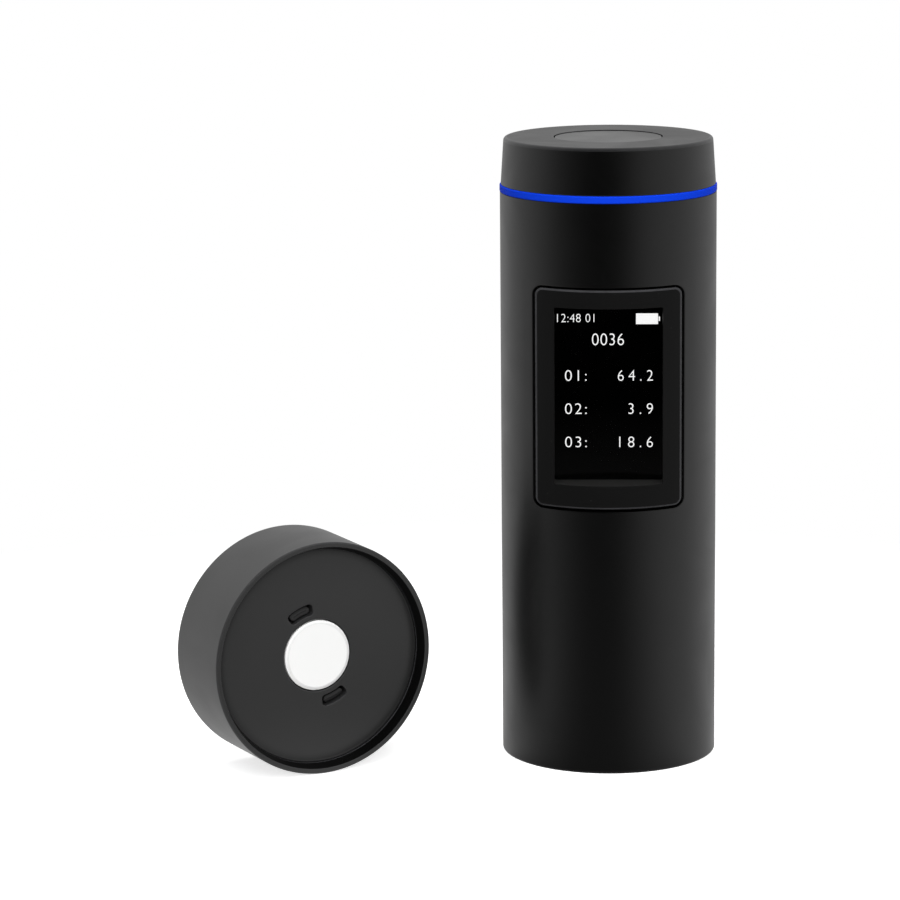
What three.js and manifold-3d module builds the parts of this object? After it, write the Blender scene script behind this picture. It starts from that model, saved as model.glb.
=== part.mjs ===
// A pocket colorimeter: a plain black cylinder with a measuring button in its top, a display in its
// front and a measuring aperture in its base. Its calibration cap stands on edge beside it.
// Millimetres, +Z up. The display faces -Y. The instrument is drawn round its own axis, and at the
// end the whole part is moved so that its origin is the middle of the ground that it covers.
import * as THREE from 'three';
import { mergeVertices } from 'three/addons/utils/BufferGeometryUtils.js';
import Module from 'manifold-3d';

const wasm = await Module();
wasm.setup();

// How finely round pieces are cut: sides of the large, middle and small ones, and steps of an arc.
const bodySides = 48;
const innerSides = 24;
const smallSides = 12;
const arcSteps = 3;

// Shared clearances. Seat gap is for pieces in the turned cap, which would otherwise touch askew.
const runningGap = 0.15;
const fitGap = 0.2;
const looseGap = 0.5;
const seatGap = 0.3;
const screwGap = 0.1;
const overrun = 1;
const weldDistance = 1e-4;

// Barrel: the tube of the body.
const barrelRadius = 15.6;
const barrelWall = 1.3;
const barrelHeight = 82.65;
const barrelEdge = 0.3;
const ledgeReach = 1.3;
const ledgeThickness = 1.2;
const grooveDepth = 0.35;
const grooveHeight = 1.2;

// Accent ring between barrel and top cap.
const ringHeight = 1.2;
const ringProud = 0.05;

// Top cap and its spigot in the barrel.
const topHeight = 6.6;
const topInset = 0.12;
const topTaper = 0.4;
const topFillet = 0.5;
const topPlate = 1.8;
const topFaceWidth = 7.23;
const spigotLength = 5.5;
const spigotWall = 1.2;
const beadProud = 0.15;

// Measuring button.
const buttonSink = 0.1;
const buttonChamfer = 0.2;
const buttonFlangeWidth = 1;
const buttonFlangeHeight = 0.8;
const buttonShell = 1.7;
const buttonRimWidth = 1.2;
const buttonTravel = 0.5;

// Push switch below the button: a post of the button rests on its plunger.
const plungerRadius = 1.6;
const plungerTopDrop = 1.8;
const plungerLength = 2.4;
const plungerStandsOut = 1.6;
const switchSide = 6;
const switchHeight = 3.4;
const switchBoardThickness = 1;
const switchBossRadius = 1.1;

// Display bezel: a curved frame, a little proud of the barrel, with a deep window.
const bezelHalfWidth = 10.4;
const bezelHeight = 31.05;
const bezelTopDrop = 12.45;
const bezelCorner = 1;
const bezelGap = 0.35;
const bezelProud = 0.25;
const bezelSideBar = 2.7;
const bezelTopBar = 2.45;
const bezelBottomBar = 3.15;
const windowRecess = 5.15;
const tabWidth = 3.5;
const tabFromMiddle = 3;
const tabReach = 0.9;

// Display: cover glass, panel and the flat lead to the main board.
const glassThickness = 0.8;
const glassLap = 1.2;
const panelThickness = 1.6;
const panelInset = 0.4;
const flexThickness = 0.2;
const flexHalfWidth = 4;
const flexBend = 0.5;
const flexDrop = 2;
const flexSlotHeight = 1.6;

// Chassis: the carrier of display, boards and battery.
const chassisPlate = 2.6;
const trayThickness = 1.2;
const trayBossHeight = 1.2;
const trayBossRadius = 1.5;
const railThickness = 1.4;
const floorThickness = 1.4;
const bulkheadThickness = 2;
const bulkheadInset = 12;
const bulkheadRearBar = 2;
const chassisTopDrop = 6;
const panelLedgeThickness = 1;

// Main board and what is soldered to it.
const boardThickness = 1;
const boardSideRoom = 3.7;
const boardTopDrop = 2;
const boardEndGap = 0.6;
const boardScrewInset = 2;
const boardScrewRise = 5;
const chipSide = 7;
const chipHeight = 0.9;
const chipRise = 9;
const connectorHeight = 0.9;
const connectorLength = 3;
const connectorMargin = 1;
const plugHeight = 2.6;
const plugHalfWidth = 3;

// Battery: a flat rechargeable cell behind the main board.
const plugRoom = 0.4;
const batteryThickness = 6;
const batteryHalfWidth = 7.5;
const batteryLength = 38;
const batteryRound = 2.4;
const leadRadius = 0.4;
const leadSpread = 1.2;
const leadArch = 1.8;
const plugDrop = 6;

// Charging board and its port in the back of the barrel.
const chargeBoardThickness = 0.8;
const portWidth = 9;
const portHeight = 3.2;
const portDepth = 7.3;
const portWall = 0.3;
const portSetBack = 0.9;
const tongueWidth = 6.6;
const tongueThickness = 0.7;
const portSlotMargin = 0.4;
const bridgeHalfWidth = 2;
const bridgeFromMiddle = 3;
const bridgeFromBoard = 0.5;

// Measuring base: closes the lower end round the aperture.
const baseThickness = 3;
const apertureRadius = 4;
const windowGlassRadius = 6.5;
const windowGlassThickness = 1;
const windowSeatWidth = 0.9;
const windowSeatHeight = 1.4;
const sealGrooveDepth = 0.6;
const sealGrooveWidth = 0.7;
const sealGrooveEdge = 0.25;
const sealSideGap = 0.1;

// Optics housing: lamps at 45 degrees round a straight bore for the sensor.
const opticsHeight = 10.8;
const noseWall = 1;
const chamberFlare = 0.6;
const boreBottom = 9;
const lensRadius = 3.4;
const lensLap = 0.2;
const lensRim = 0.8;
const lensCrown = 1;
const lensRise = 7.4;
const sensorSide = 4;
const sensorHeight = 1;
const sensorBoardThickness = 1;
const lampCount = 6;
const lampTilt = Math.PI / 4;
const lampRadius = 1.5;
const lampLength = 4;
const lampFlangeWidth = 0.35;
const lampFlangeHeight = 1;
const lampLeadSide = 0.5;
const lampLeadSpread = 0.7;
const lampLeadRun = 2;
const lampLeadInset = 2.6;

// Screws: long ones through the base, short ones for the boards.
const baseScrewRadius = 0.95;
const baseScrewHead = 1.9;
const baseScrewHeadHeight = 1.2;
const baseScrewSink = 0.4;
const baseScrewFromEdge = 2.9;
const baseScrewTipGap = 0.4;
const smallScrewRadius = 0.6;
const smallScrewHead = 1;
const smallScrewHeadHeight = 0.8;
const smallScrewLength = 3;
const socketShare = 0.5;
const screwCount = 3;
const baseScrewStartAngle = 30;
const switchScrewStartAngle = 90;

// Calibration cap: a cup that pushes over the measuring end. Depths are from its rim.
const capWall = 1.35;
const capLength = 13.5;
const capEdge = 0.3;
const rimWidth = 0.7;
const leadInDepth = 1.3;
const faceDepth = 2.2;
const facePlateThickness = 1.5;
const stepWidth = 1.25;
const capFloor = 1.5;
const capBossWall = 1.2;
const tileRadius = 5.1;
const tileProud = 0.1;
const tileThickness = 2.8;
const tileBevel = 0.15;
const cushionThickness = 1;
const carrierFloor = 1.2;
const carrierWall = 0.9;
const carrierMargin = 1.1;
const slotFromHole = 0.85;
const slotWidth = 1.65;
const slotHalfAngle = Math.PI / 11;
const slotAngle = (112 / 180) * Math.PI;
const hookGap = 0.25;
const hookSink = 0.35;

// Where the cap stands: the middle of its mouth from the barrel's axis, and how far it is turned.
const capAside = -40.8;
const capForward = -15.65;
const capTurn = Math.PI / 6;

// Radii and heights worked out from the sizes above.
const boreWall = barrelRadius - barrelWall;
const bodyFit = boreWall - looseGap;
const boardHalfWidth = bodyFit - boardSideRoom;
const ringTop = barrelHeight + ringHeight;
const topFace = ringTop + topHeight;
const plateUnderside = topFace - topPlate;
const topRadius = barrelRadius - topInset - topTaper;
const buttonBore = topRadius - topFaceWidth;
const buttonRadius = buttonBore - runningGap;
const buttonFlange = buttonRadius + buttonFlangeWidth;
const spigotRadius = boreWall - fitGap;
const spigotBore = spigotRadius - spigotWall;
const spigotBottom = ringTop - spigotLength;
const grooveBottom = spigotBottom + grooveHeight;

const plungerTop = plateUnderside - plungerTopDrop;
const switchTop = plungerTop - plungerStandsOut;
const switchBoardTop = switchTop - switchHeight;
const switchBoardBottom = switchBoardTop - switchBoardThickness;
const switchBossCircle = buttonFlange + fitGap + switchBossRadius;

const bezelTop = barrelHeight - bezelTopDrop;
const bezelBottom = bezelTop - bezelHeight;
const bezelRadius = barrelRadius + bezelProud;
const windowHalfWidth = bezelHalfWidth - bezelSideBar;
const windowTop = bezelTop - bezelTopBar;
const windowBottom = bezelBottom + bezelBottomBar;
const glassHalfWidth = windowHalfWidth + glassLap;
const panelHalfWidth = glassHalfWidth - panelInset;

// Depths along Y, from the front: glass, panel, tray, main board, battery.
const glassFront = windowRecess - bezelRadius;
const panelFront = glassFront + glassThickness;
const trayFront = panelFront + panelThickness;
const trayBack = trayFront + trayThickness;
const boardFront = trayBack + trayBossHeight;
const boardBack = boardFront + boardThickness;
const batteryFront = boardBack + plugHeight + plugRoom;
const batteryBack = batteryFront + batteryThickness;

// Heights, from the bottom: base, optics, sensor board, chassis, charging port, battery.
const ledgeTop = baseThickness + ledgeThickness;
const opticsTop = ledgeTop + opticsHeight;
const sensorBoardTop = opticsTop + sensorBoardThickness;
const chassisBottom = sensorBoardTop;
const chassisPlateTop = chassisBottom + chassisPlate;
const chargeBoardTop = chassisPlateTop + chargeBoardThickness;
const portMiddle = chargeBoardTop + portHeight / 2;
const floorBottom = chargeBoardTop + portHeight + fitGap;
const floorTop = floorBottom + floorThickness;
const chassisTop = barrelHeight - chassisTopDrop;
const batteryTop = floorTop + batteryLength;
const boardBottom = floorTop + boardEndGap;
const boardTop = chassisTop - boardTopDrop;
const panelBottom = windowBottom - glassLap;
const panelTop = windowTop + glassLap;
const windowGlassTop = windowSeatHeight + windowGlassThickness;
const baseScrewCircle = boreWall - fitGap - baseScrewFromEdge;
const lampLeadCircle = bodyFit - lampLeadInset;
const lensSeat = windowGlassTop + lensRise;

// The cap's radii, from the barrel that it pushes over.
const capLand = barrelRadius + runningGap;
const capRadius = capLand + capWall;
const capStep = capLand - stepWidth;
const tileHole = tileRadius + runningGap;
const slotInner = tileHole + slotFromHole;
const slotOuter = slotInner + slotWidth;

// Materials: colour, roughness and metalness of each finish.
function finish(color, roughness, metalness = 0) {
  return new THREE.MeshStandardMaterial({ color, roughness, metalness });
}
const materials = {
  satinBlack: finish(0x1b1c1e, 0.45),
  topBlack: finish(0x202124, 0.4),
  buttonBlack: finish(0x242528, 0.38),
  accentBlue: finish(0x0f3fd8, 0.35),
  bezelBlack: finish(0x17181a, 0.32),
  screen: finish(0x020203, 0.12),
  glass: finish(0x08090b, 0.05),
  innerPlastic: finish(0x2c2f33, 0.6),
  opticsBlack: finish(0x0e0e0f, 0.85),
  circuitBoard: finish(0x1d5a38, 0.5),
  chip: finish(0x141416, 0.55),
  connector: finish(0xd9d5c8, 0.55),
  flatLead: finish(0xb5651d, 0.4),
  cell: finish(0x9aa0a6, 0.35, 0.6),
  leadRed: finish(0xa81f1f, 0.5),
  leadBlack: finish(0x151515, 0.5),
  steel: finish(0xb9bcc0, 0.3, 1),
  lamp: finish(0xe9efe6, 0.15),
  rubber: finish(0x161616, 0.9),
  capBlack: finish(0x1e1f21, 0.5),
  whiteTile: finish(0xf4f4f1, 0.35),
  foam: finish(0x55585c, 0.95),
};

// A three.js geometry as a solid: its shared corners are merged and empty triangles are dropped.
function solid(geometry) {
  geometry.deleteAttribute('normal');
  geometry.deleteAttribute('uv');
  const merged = mergeVertices(geometry, weldDistance);
  const corners = merged.index.array;
  const triangles = [];
  for (let i = 0; i < corners.length; i += 3) {
    const [a, b, c] = corners.subarray(i, i + 3);
    if (a !== b && b !== c && c !== a) triangles.push(a, b, c);
  }
  return new wasm.Manifold(new wasm.Mesh({
    numProp: 3,
    vertProperties: new Float32Array(merged.attributes.position.array),
    triVerts: new Uint32Array(triangles),
  }));
}

// A solid back as a geometry, with the flat shading that faceted metal and plastic parts need.
function toGeometry(body) {
  const mesh = body.getMesh();
  const geometry = new THREE.BufferGeometry();
  geometry.setAttribute('position', new THREE.BufferAttribute(mesh.vertProperties, mesh.numProp));
  geometry.setIndex(new THREE.BufferAttribute(mesh.triVerts, 1));
  geometry.computeVertexNormals();
  return geometry;
}

// Turns a closed profile of [radius, height] points about Z. A profile that doesn't reach the axis
// closes on itself. Points may run either way round.
function turned(profile, sides = bodySides) {
  const points = profile.map(([radius, height]) => new THREE.Vector2(radius, height));
  if (THREE.ShapeUtils.area(points) < 0) points.reverse();
  const onAxis = points.some((point) => point.x === 0);
  if (onAxis) {
    while (points[0].x !== 0 || points[points.length - 1].x !== 0) points.push(points.shift());
  } else {
    points.push(points[0].clone());
  }
  const geometry = new THREE.LatheGeometry(points, sides);
  geometry.rotateX(Math.PI / 2);
  return solid(geometry);
}

// Points of an arc in a profile, from one angle to another, both ends included.
function arc(radius, height, size, from, to, steps = arcSteps) {
  return Array.from({ length: steps + 1 }, (_, i) => {
    const angle = from + ((to - from) * i) / steps;
    return [radius + size * Math.cos(angle), height + size * Math.sin(angle)];
  });
}

function disc(radius, bottom, top, sides = innerSides) {
  return turned([[0, bottom], [radius, bottom], [radius, top], [0, top]], sides);
}

function ring(inner, outer, bottom, top, sides = innerSides) {
  return turned([[inner, bottom], [outer, bottom], [outer, top], [inner, top]], sides);
}

// A box between two corners.
function block(x0, x1, y0, y1, z0, z1) {
  const geometry = new THREE.BoxGeometry(x1 - x0, y1 - y0, z1 - z0);
  geometry.translate((x0 + x1) / 2, (y0 + y1) / 2, (z0 + z1) / 2);
  return solid(geometry);
}

// An outline in X and Z, pushed through from one depth along Y to another.
function upright(shape, front, back) {
  const geometry = new THREE.ExtrudeGeometry(shape, {
    depth: back - front,
    bevelEnabled: false,
    curveSegments: arcSteps,
  });
  geometry.rotateX(Math.PI / 2);
  geometry.translate(0, back, 0);
  return solid(geometry);
}

function roundedRectangle(halfWidth, bottom, top, radius) {
  const shape = new THREE.Shape();
  shape.moveTo(halfWidth, bottom + radius);
  shape.absarc(halfWidth - radius, top - radius, radius, 0, Math.PI / 2);
  shape.absarc(radius - halfWidth, top - radius, radius, Math.PI / 2, Math.PI);
  shape.absarc(radius - halfWidth, bottom + radius, radius, Math.PI, 1.5 * Math.PI);
  shape.absarc(halfWidth - radius, bottom + radius, radius, 1.5 * Math.PI, 2 * Math.PI);
  return shape;
}

function joined(bodies) {
  return bodies.reduce((sum, body) => sum.add(body));
}

function without(body, cuts) {
  return cuts.reduce((rest, cut) => rest.subtract(cut), body);
}

// Copies of a body, spaced evenly about Z. The first is turned by the start angle.
function around(body, count, start = 0) {
  const step = 360 / count;
  return Array.from({ length: count }, (_, i) => body.rotate([0, 0, start + step * i]));
}

// A screw that points up from its head, with a six-sided socket.
function screw(radius, length, headRadius, headHeight) {
  const shank = disc(radius, 0, headHeight + length, smallSides);
  const head = disc(headRadius, 0, headHeight, smallSides);
  const socketRadius = headRadius * socketShare;
  const socket = disc(socketRadius, -overrun, headHeight * socketShare, 6);
  return shank.add(head).subtract(socket);
}

function smallScrew() {
  return screw(smallScrewRadius, smallScrewLength, smallScrewHead, smallScrewHeadHeight);
}

// Body of the instrument

function makeBarrel() {
  const ledgeBore = boreWall - ledgeReach;
  const grooveTop = grooveBottom + grooveHeight;
  const tube = turned([
    [boreWall, 0],
    [barrelRadius - barrelEdge, 0],
    [barrelRadius, barrelEdge],
    [barrelRadius, barrelHeight],
    [boreWall, barrelHeight],
    [boreWall, grooveTop],
    [boreWall + grooveDepth, grooveTop],
    [boreWall + grooveDepth, grooveBottom],
    [boreWall, grooveBottom],
    [boreWall, ledgeTop],
    [ledgeBore, ledgeTop],
    [ledgeBore, baseThickness],
    [boreWall, baseThickness],
  ]);
  const outside = barrelRadius + overrun;
  const bezelHole = upright(
    roundedRectangle(
      bezelHalfWidth + bezelGap, bezelBottom - bezelGap, bezelTop + bezelGap,
      bezelCorner + bezelGap),
    -outside, 0);
  const slotHalfHeight = portHeight / 2 + portSlotMargin;
  const portSlot = upright(
    roundedRectangle(
      portWidth / 2 + portSlotMargin, portMiddle - slotHalfHeight, portMiddle + slotHalfHeight,
      slotHalfHeight - weldDistance),
    0, outside);
  return without(tube, [bezelHole, portSlot]);
}

function makeAccentRing() {
  return ring(spigotRadius + fitGap, barrelRadius + ringProud, barrelHeight, ringTop, bodySides);
}

function makeTopCap() {
  const lowRadius = barrelRadius - topInset;
  const beadMiddle = grooveBottom + grooveHeight / 2;
  const beadHalf = grooveHeight / 2 - fitGap;
  const cap = turned([
    [spigotBore, spigotBottom],
    [spigotRadius, spigotBottom],
    [spigotRadius, beadMiddle - beadHalf],
    [spigotRadius + fitGap + beadProud, beadMiddle],
    [spigotRadius, beadMiddle + beadHalf],
    [spigotRadius, ringTop],
    [lowRadius, ringTop],
    ...arc(topRadius - topFillet, topFace - topFillet, topFillet, 0, Math.PI / 2),
    [buttonBore, topFace],
    [buttonBore, plateUnderside],
    [spigotBore, plateUnderside],
  ]);
  const boss = disc(switchBossRadius, switchBoardTop, plateUnderside + topPlate / 2, smallSides)
    .translate([switchBossCircle, 0, 0]);
  const pilotTop = switchBoardBottom + smallScrewLength + screwGap;
  const pilot = disc(smallScrewRadius + screwGap, switchBoardTop - overrun, pilotTop, smallSides)
    .translate([switchBossCircle, 0, 0]);
  const bosses = around(boss, screwCount, switchScrewStartAngle);
  return without(joined([cap, ...bosses]), around(pilot, screwCount, switchScrewStartAngle));
}

function makeButton() {
  const top = topFace - buttonSink;
  const flangeBottom = plateUnderside - buttonFlangeHeight;
  const hollow = buttonRadius - buttonRimWidth;
  const shellUnderside = top - buttonShell;
  return turned([
    [0, plungerTop],
    [plungerRadius, plungerTop],
    [plungerRadius, shellUnderside],
    [hollow, shellUnderside],
    [hollow, flangeBottom],
    [buttonFlange, flangeBottom],
    [buttonFlange, plateUnderside],
    [buttonRadius, plateUnderside],
    [buttonRadius, top - buttonChamfer],
    [buttonRadius - buttonChamfer, top],
    [0, top],
  ]);
}

function makePlunger() {
  return disc(plungerRadius, plungerTop - plungerLength, plungerTop, smallSides);
}

function makeSwitchHousing() {
  const half = switchSide / 2;
  const housing = block(-half, half, -half, half, switchBoardTop, switchTop);
  const wellBottom = plungerTop - plungerLength - buttonTravel - fitGap;
  const well = disc(plungerRadius + runningGap, wellBottom, switchTop + overrun, smallSides);
  return housing.subtract(well);
}

function makeSwitchBoard() {
  const board = disc(spigotBore - seatGap, switchBoardBottom, switchBoardTop);
  const hole = disc(
    smallScrewRadius + screwGap, switchBoardBottom - overrun, switchBoardTop + overrun, smallSides)
    .translate([switchBossCircle, 0, 0]);
  return without(board, around(hole, screwCount, switchScrewStartAngle));
}

function makeSwitchScrews() {
  const placed = smallScrew()
    .translate([switchBossCircle, 0, switchBoardBottom - smallScrewHeadHeight]);
  return around(placed, screwCount, switchScrewStartAngle);
}

// Display

function makeBezel() {
  const outline = roundedRectangle(bezelHalfWidth, bezelBottom, bezelTop, bezelCorner);
  const blank = upright(outline, -bezelRadius - overrun, glassFront);
  const curved = disc(bezelRadius, bezelBottom - overrun, bezelTop + overrun, bodySides);
  const window = block(
    -windowHalfWidth, windowHalfWidth, -bezelRadius - overrun, glassFront + overrun,
    windowBottom, windowTop);
  const frame = blank.intersect(curved).subtract(window);
  const tabOuter = tabFromMiddle + tabWidth;
  const tabFront = looseGap - Math.sqrt(boreWall ** 2 - tabOuter ** 2);
  const upper = block(
    tabFromMiddle, tabOuter, tabFront, glassFront, windowTop + fitGap, bezelTop + tabReach);
  const lower = block(
    tabFromMiddle, tabOuter, tabFront, glassFront, bezelBottom - tabReach, windowBottom - fitGap);
  const tabs = upper.add(lower);
  return joined([frame, tabs, tabs.mirror([1, 0, 0])]);
}

function makeGlass() {
  return block(
    -glassHalfWidth, glassHalfWidth, glassFront, panelFront, windowBottom - glassLap,
    windowTop + glassLap);
}

function makePanel() {
  return block(
    -panelHalfWidth, panelHalfWidth, panelFront, trayFront, panelBottom + panelInset,
    panelTop - panelInset);
}

// A flat lead: the middle line of its bend, thickened to both sides, then pushed along X.
function makeDisplayLead() {
  const start = panelBottom + panelInset;
  const frontRun = trayFront - looseGap;
  const backRun = boardFront - connectorHeight / 2;
  const low = start - flexDrop;
  const line = new THREE.Path();
  line.moveTo(frontRun, start);
  line.lineTo(frontRun, low + flexBend);
  line.absarc(frontRun + flexBend, low + flexBend, flexBend, Math.PI, 1.5 * Math.PI);
  line.lineTo(backRun - flexBend, low);
  line.absarc(backRun - flexBend, low + flexBend, flexBend, -Math.PI / 2, 0);
  line.lineTo(backRun, displayPlugBottom());
  const middle = line.getPoints(arcSteps).filter(
    (point, i, all) => i === 0 || point.distanceTo(all[i - 1]) > weldDistance);
  const side = (sign) => middle.map((point, i) => {
    const ahead = middle[Math.min(i + 1, middle.length - 1)];
    const behind = middle[Math.max(i - 1, 0)];
    const along = ahead.clone().sub(behind).normalize();
    const offset = (sign * flexThickness) / 2;
    return new THREE.Vector2(point.x - along.y * offset, point.y + along.x * offset);
  });
  const outline = new THREE.Shape([...side(1), ...side(-1).reverse()]);
  const geometry = new THREE.ExtrudeGeometry(
    outline, { depth: 2 * flexHalfWidth, bevelEnabled: false });
  // The outline's X and Y become the object's Y and Z, and its depth the object's X.
  geometry.applyMatrix4(new THREE.Matrix4().makeBasis(
    new THREE.Vector3(0, 1, 0), new THREE.Vector3(0, 0, 1), new THREE.Vector3(1, 0, 0)));
  geometry.translate(-flexHalfWidth, 0, 0);
  return solid(geometry);
}

function displayPlugBottom() {
  return panelBottom + connectorMargin;
}

// Chassis, with its boards and battery

function boardScrewPlaces() {
  const aside = boardHalfWidth - boardScrewInset;
  const low = boardBottom + boardScrewRise;
  const high = boardTop - boardScrewRise;
  return [[-aside, low], [aside, low], [-aside, high], [aside, high]];
}

// A round bar along Y, from one depth to another.
function barAlongY(radius, x, z, front, back) {
  return disc(radius, 0, back - front, smallSides).rotate([-90, 0, 0]).translate([x, front, z]);
}

function makeChassis() {
  const reach = bodyFit;
  const wide = boreWall;
  const plate = block(-wide, wide, -wide, wide, chassisBottom, chassisPlateTop);
  const tray = block(-wide, wide, trayFront, trayBack, chassisPlateTop - overrun, chassisTop);
  const railInner = boardHalfWidth + looseGap;
  const rail = block(
    railInner, railInner + railThickness, trayFront, batteryBack, chassisPlateTop - overrun,
    chassisTop);
  const rearFace = batteryBack + seatGap + bulkheadRearBar;
  const deck = (bottom, thickness) =>
    block(-wide, wide, trayFront, rearFace, bottom, bottom + thickness);
  const decks = [
    deck(floorBottom, floorThickness),
    deck(floorTop + bulkheadInset, bulkheadThickness),
    deck(chassisTop - bulkheadInset - bulkheadThickness, bulkheadThickness),
  ];
  const ledge = (bottom) => block(
    flexHalfWidth + looseGap, panelHalfWidth, panelFront + fitGap, trayFront + fitGap,
    bottom, bottom + panelLedgeThickness);
  const ledges = [
    ledge(panelBottom + panelInset - fitGap - panelLedgeThickness),
    ledge(panelTop - panelInset + fitGap),
  ];
  const bosses = boardScrewPlaces().map(
    ([x, z]) => barAlongY(trayBossRadius, x, z, trayBack - fitGap, boardFront));
  const mirrored = [rail, ...ledges].map((body) => body.mirror([1, 0, 0]));
  const blank = joined([plate, tray, rail, ...decks, ...ledges, ...mirrored, ...bosses]);
  const round = disc(reach, chassisBottom - overrun, chassisTop + overrun);

  const boardSlot = block(
    -railInner, railInner, trayBack, boardBack + fitGap, floorTop, chassisTop + overrun);
  const batteryAside = batteryHalfWidth + seatGap;
  const batteryWell = block(
    -batteryAside, batteryAside, boardBack, batteryBack + seatGap, floorTop, chassisTop + overrun);
  const keptBosses = joined(bosses);
  const leadLow = panelBottom + panelInset - flexDrop;
  const leadHalf = flexHalfWidth + fitGap;
  const leadSlot = block(
    -leadHalf, leadHalf, trayFront - overrun, trayBack + overrun,
    leadLow - flexSlotHeight / 2, leadLow + flexSlotHeight / 2);
  const pilots = boardScrewPlaces().map(([x, z]) => barAlongY(
    smallScrewRadius + screwGap, x, z, boardBack - smallScrewLength - screwGap, boardFront + overrun));
  const pilotTop = chassisPlateTop - baseScrewTipGap + screwGap;
  const basePilot = disc(
    baseScrewRadius + screwGap, chassisBottom - overrun, pilotTop, smallSides)
    .translate([baseScrewCircle, 0, 0]);
  const open = without(blank.intersect(round), [boardSlot, batteryWell]).add(keptBosses);
  return without(open, [
    leadSlot, ...bridgeSlots(), ...pilots,
    ...around(basePilot, screwCount, baseScrewStartAngle)]);
}

// The straight flat leads behind the main board: from the sensor board and from the charging board.
function bridgeDepth() {
  return boardBack + bridgeFromBoard;
}

function bridge(side, bottom) {
  const x = side * bridgeFromMiddle;
  return block(
    x - bridgeHalfWidth, x + bridgeHalfWidth, bridgeDepth() - flexThickness / 2,
    bridgeDepth() + flexThickness / 2, bottom, lowPlugBottom());
}

function bridgeSlots() {
  const half = bridgeHalfWidth + fitGap;
  const slot = (side, bottom, top) => block(
    side * bridgeFromMiddle - half, side * bridgeFromMiddle + half,
    bridgeDepth() - bridgeFromBoard, bridgeDepth() + bridgeFromBoard, bottom, top);
  return [
    slot(1, chassisBottom - overrun, floorTop + overrun),
    slot(-1, floorBottom - overrun, floorTop + overrun),
  ];
}

function lowPlugBottom() {
  return boardBottom + connectorMargin;
}

function makeMainBoard() {
  const board = block(-boardHalfWidth, boardHalfWidth, boardFront, boardBack, boardBottom, boardTop);
  const holes = boardScrewPlaces().map(([x, z]) => barAlongY(
    smallScrewRadius + screwGap, x, z, boardFront - overrun, boardBack + overrun));
  return without(board, holes);
}

function makeChip() {
  const half = chipSide / 2;
  const bottom = boardBottom + chipRise;
  return block(-half, half, boardBack, boardBack + chipHeight, bottom, bottom + chipSide);
}

function makeDisplayPlug() {
  const half = flexHalfWidth + connectorMargin;
  const bottom = displayPlugBottom();
  return block(-half, half, boardFront - connectorHeight, boardFront, bottom, bottom + connectorLength);
}

function lowPlug(side) {
  const half = bridgeHalfWidth + fitGap;
  const x = side * bridgeFromMiddle;
  const bottom = lowPlugBottom();
  return block(
    x - half, x + half, boardBack, boardBack + connectorHeight, bottom, bottom + connectorLength);
}

function makeSwitchPlug() {
  const half = bridgeHalfWidth + connectorMargin;
  return block(
    -half, half, boardFront - connectorHeight, boardFront,
    boardTop - connectorMargin - connectorLength, boardTop - connectorMargin);
}

function makeSwitchLead() {
  const depth = boardFront - connectorHeight / 2;
  return block(
    -bridgeHalfWidth, bridgeHalfWidth, depth - flexThickness / 2, depth + flexThickness / 2,
    boardTop - connectorMargin, switchBoardBottom);
}

function makeBoardScrews() {
  const laid = smallScrew().rotate([90, 0, 0]);
  return boardScrewPlaces().map(
    ([x, z]) => laid.translate([x, boardBack + smallScrewHeadHeight, z]));
}

function makeBattery() {
  const round = Math.min(batteryRound, batteryThickness / 2 - weldDistance);
  const shape = roundedRectangle(batteryHalfWidth, batteryFront, batteryBack, round);
  const geometry = new THREE.ExtrudeGeometry(
    shape, { depth: batteryLength, bevelEnabled: false, curveSegments: arcSteps });
  geometry.translate(0, 0, floorTop);
  return solid(geometry);
}

function batteryPlugTop() {
  return batteryTop - plugDrop;
}

function makeBatteryPlug() {
  const top = batteryPlugTop();
  return block(
    -plugHalfWidth, plugHalfWidth, boardBack, boardBack + plugHeight, top - connectorLength, top);
}

// A battery lead: up out of its plug, over in an arch and down onto the top of the cell.
function makeBatteryLead(side) {
  const x = side * leadSpread;
  const plugDepth = boardBack + plugHeight / 2;
  const cellDepth = (batteryFront + batteryBack) / 2;
  const from = batteryPlugTop() + runningGap;
  const to = batteryTop + runningGap;
  const high = to + leadArch;
  const bend = leadArch / 2;
  const route = new THREE.CatmullRomCurve3([
    new THREE.Vector3(x, plugDepth, from),
    new THREE.Vector3(x, plugDepth, to),
    new THREE.Vector3(x, plugDepth + bend, high - bend / 2),
    new THREE.Vector3(x, (plugDepth + cellDepth) / 2, high),
    new THREE.Vector3(x, cellDepth, to + bend),
    new THREE.Vector3(x, cellDepth, to),
  ]);
  const section = new THREE.Shape();
  section.absarc(0, 0, leadRadius, 0, 2 * Math.PI);
  return solid(new THREE.ExtrudeGeometry(section, {
    steps: smallSides, curveSegments: arcSteps, extrudePath: route, bevelEnabled: false,
  }));
}

// Charging board and port

function makeChargeBoard() {
  const round = disc(bodyFit - fitGap, chassisPlateTop, chargeBoardTop);
  const behind = block(
    -boardHalfWidth, boardHalfWidth, boardFront, boreWall, chassisPlateTop - overrun,
    chargeBoardTop + overrun);
  const slot = bridgeSlots()[0];
  return round.intersect(behind).subtract(slot);
}

function makePort() {
  const mouth = boreWall - portSetBack;
  const back = mouth - portDepth;
  const stadium = (inset) => {
    const halfHeight = portHeight / 2 - inset;
    return roundedRectangle(
      portWidth / 2 - inset, portMiddle - halfHeight, portMiddle + halfHeight,
      halfHeight - weldDistance);
  };
  const shell = upright(stadium(0), back, mouth);
  const well = upright(stadium(portWall), back + portWall * 2, mouth + overrun);
  const half = tongueWidth / 2;
  const tongue = block(
    -half, half, back + portWall, mouth - looseGap, portMiddle - tongueThickness / 2,
    portMiddle + tongueThickness / 2);
  return shell.subtract(well).add(tongue);
}

// Measuring end

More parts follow.
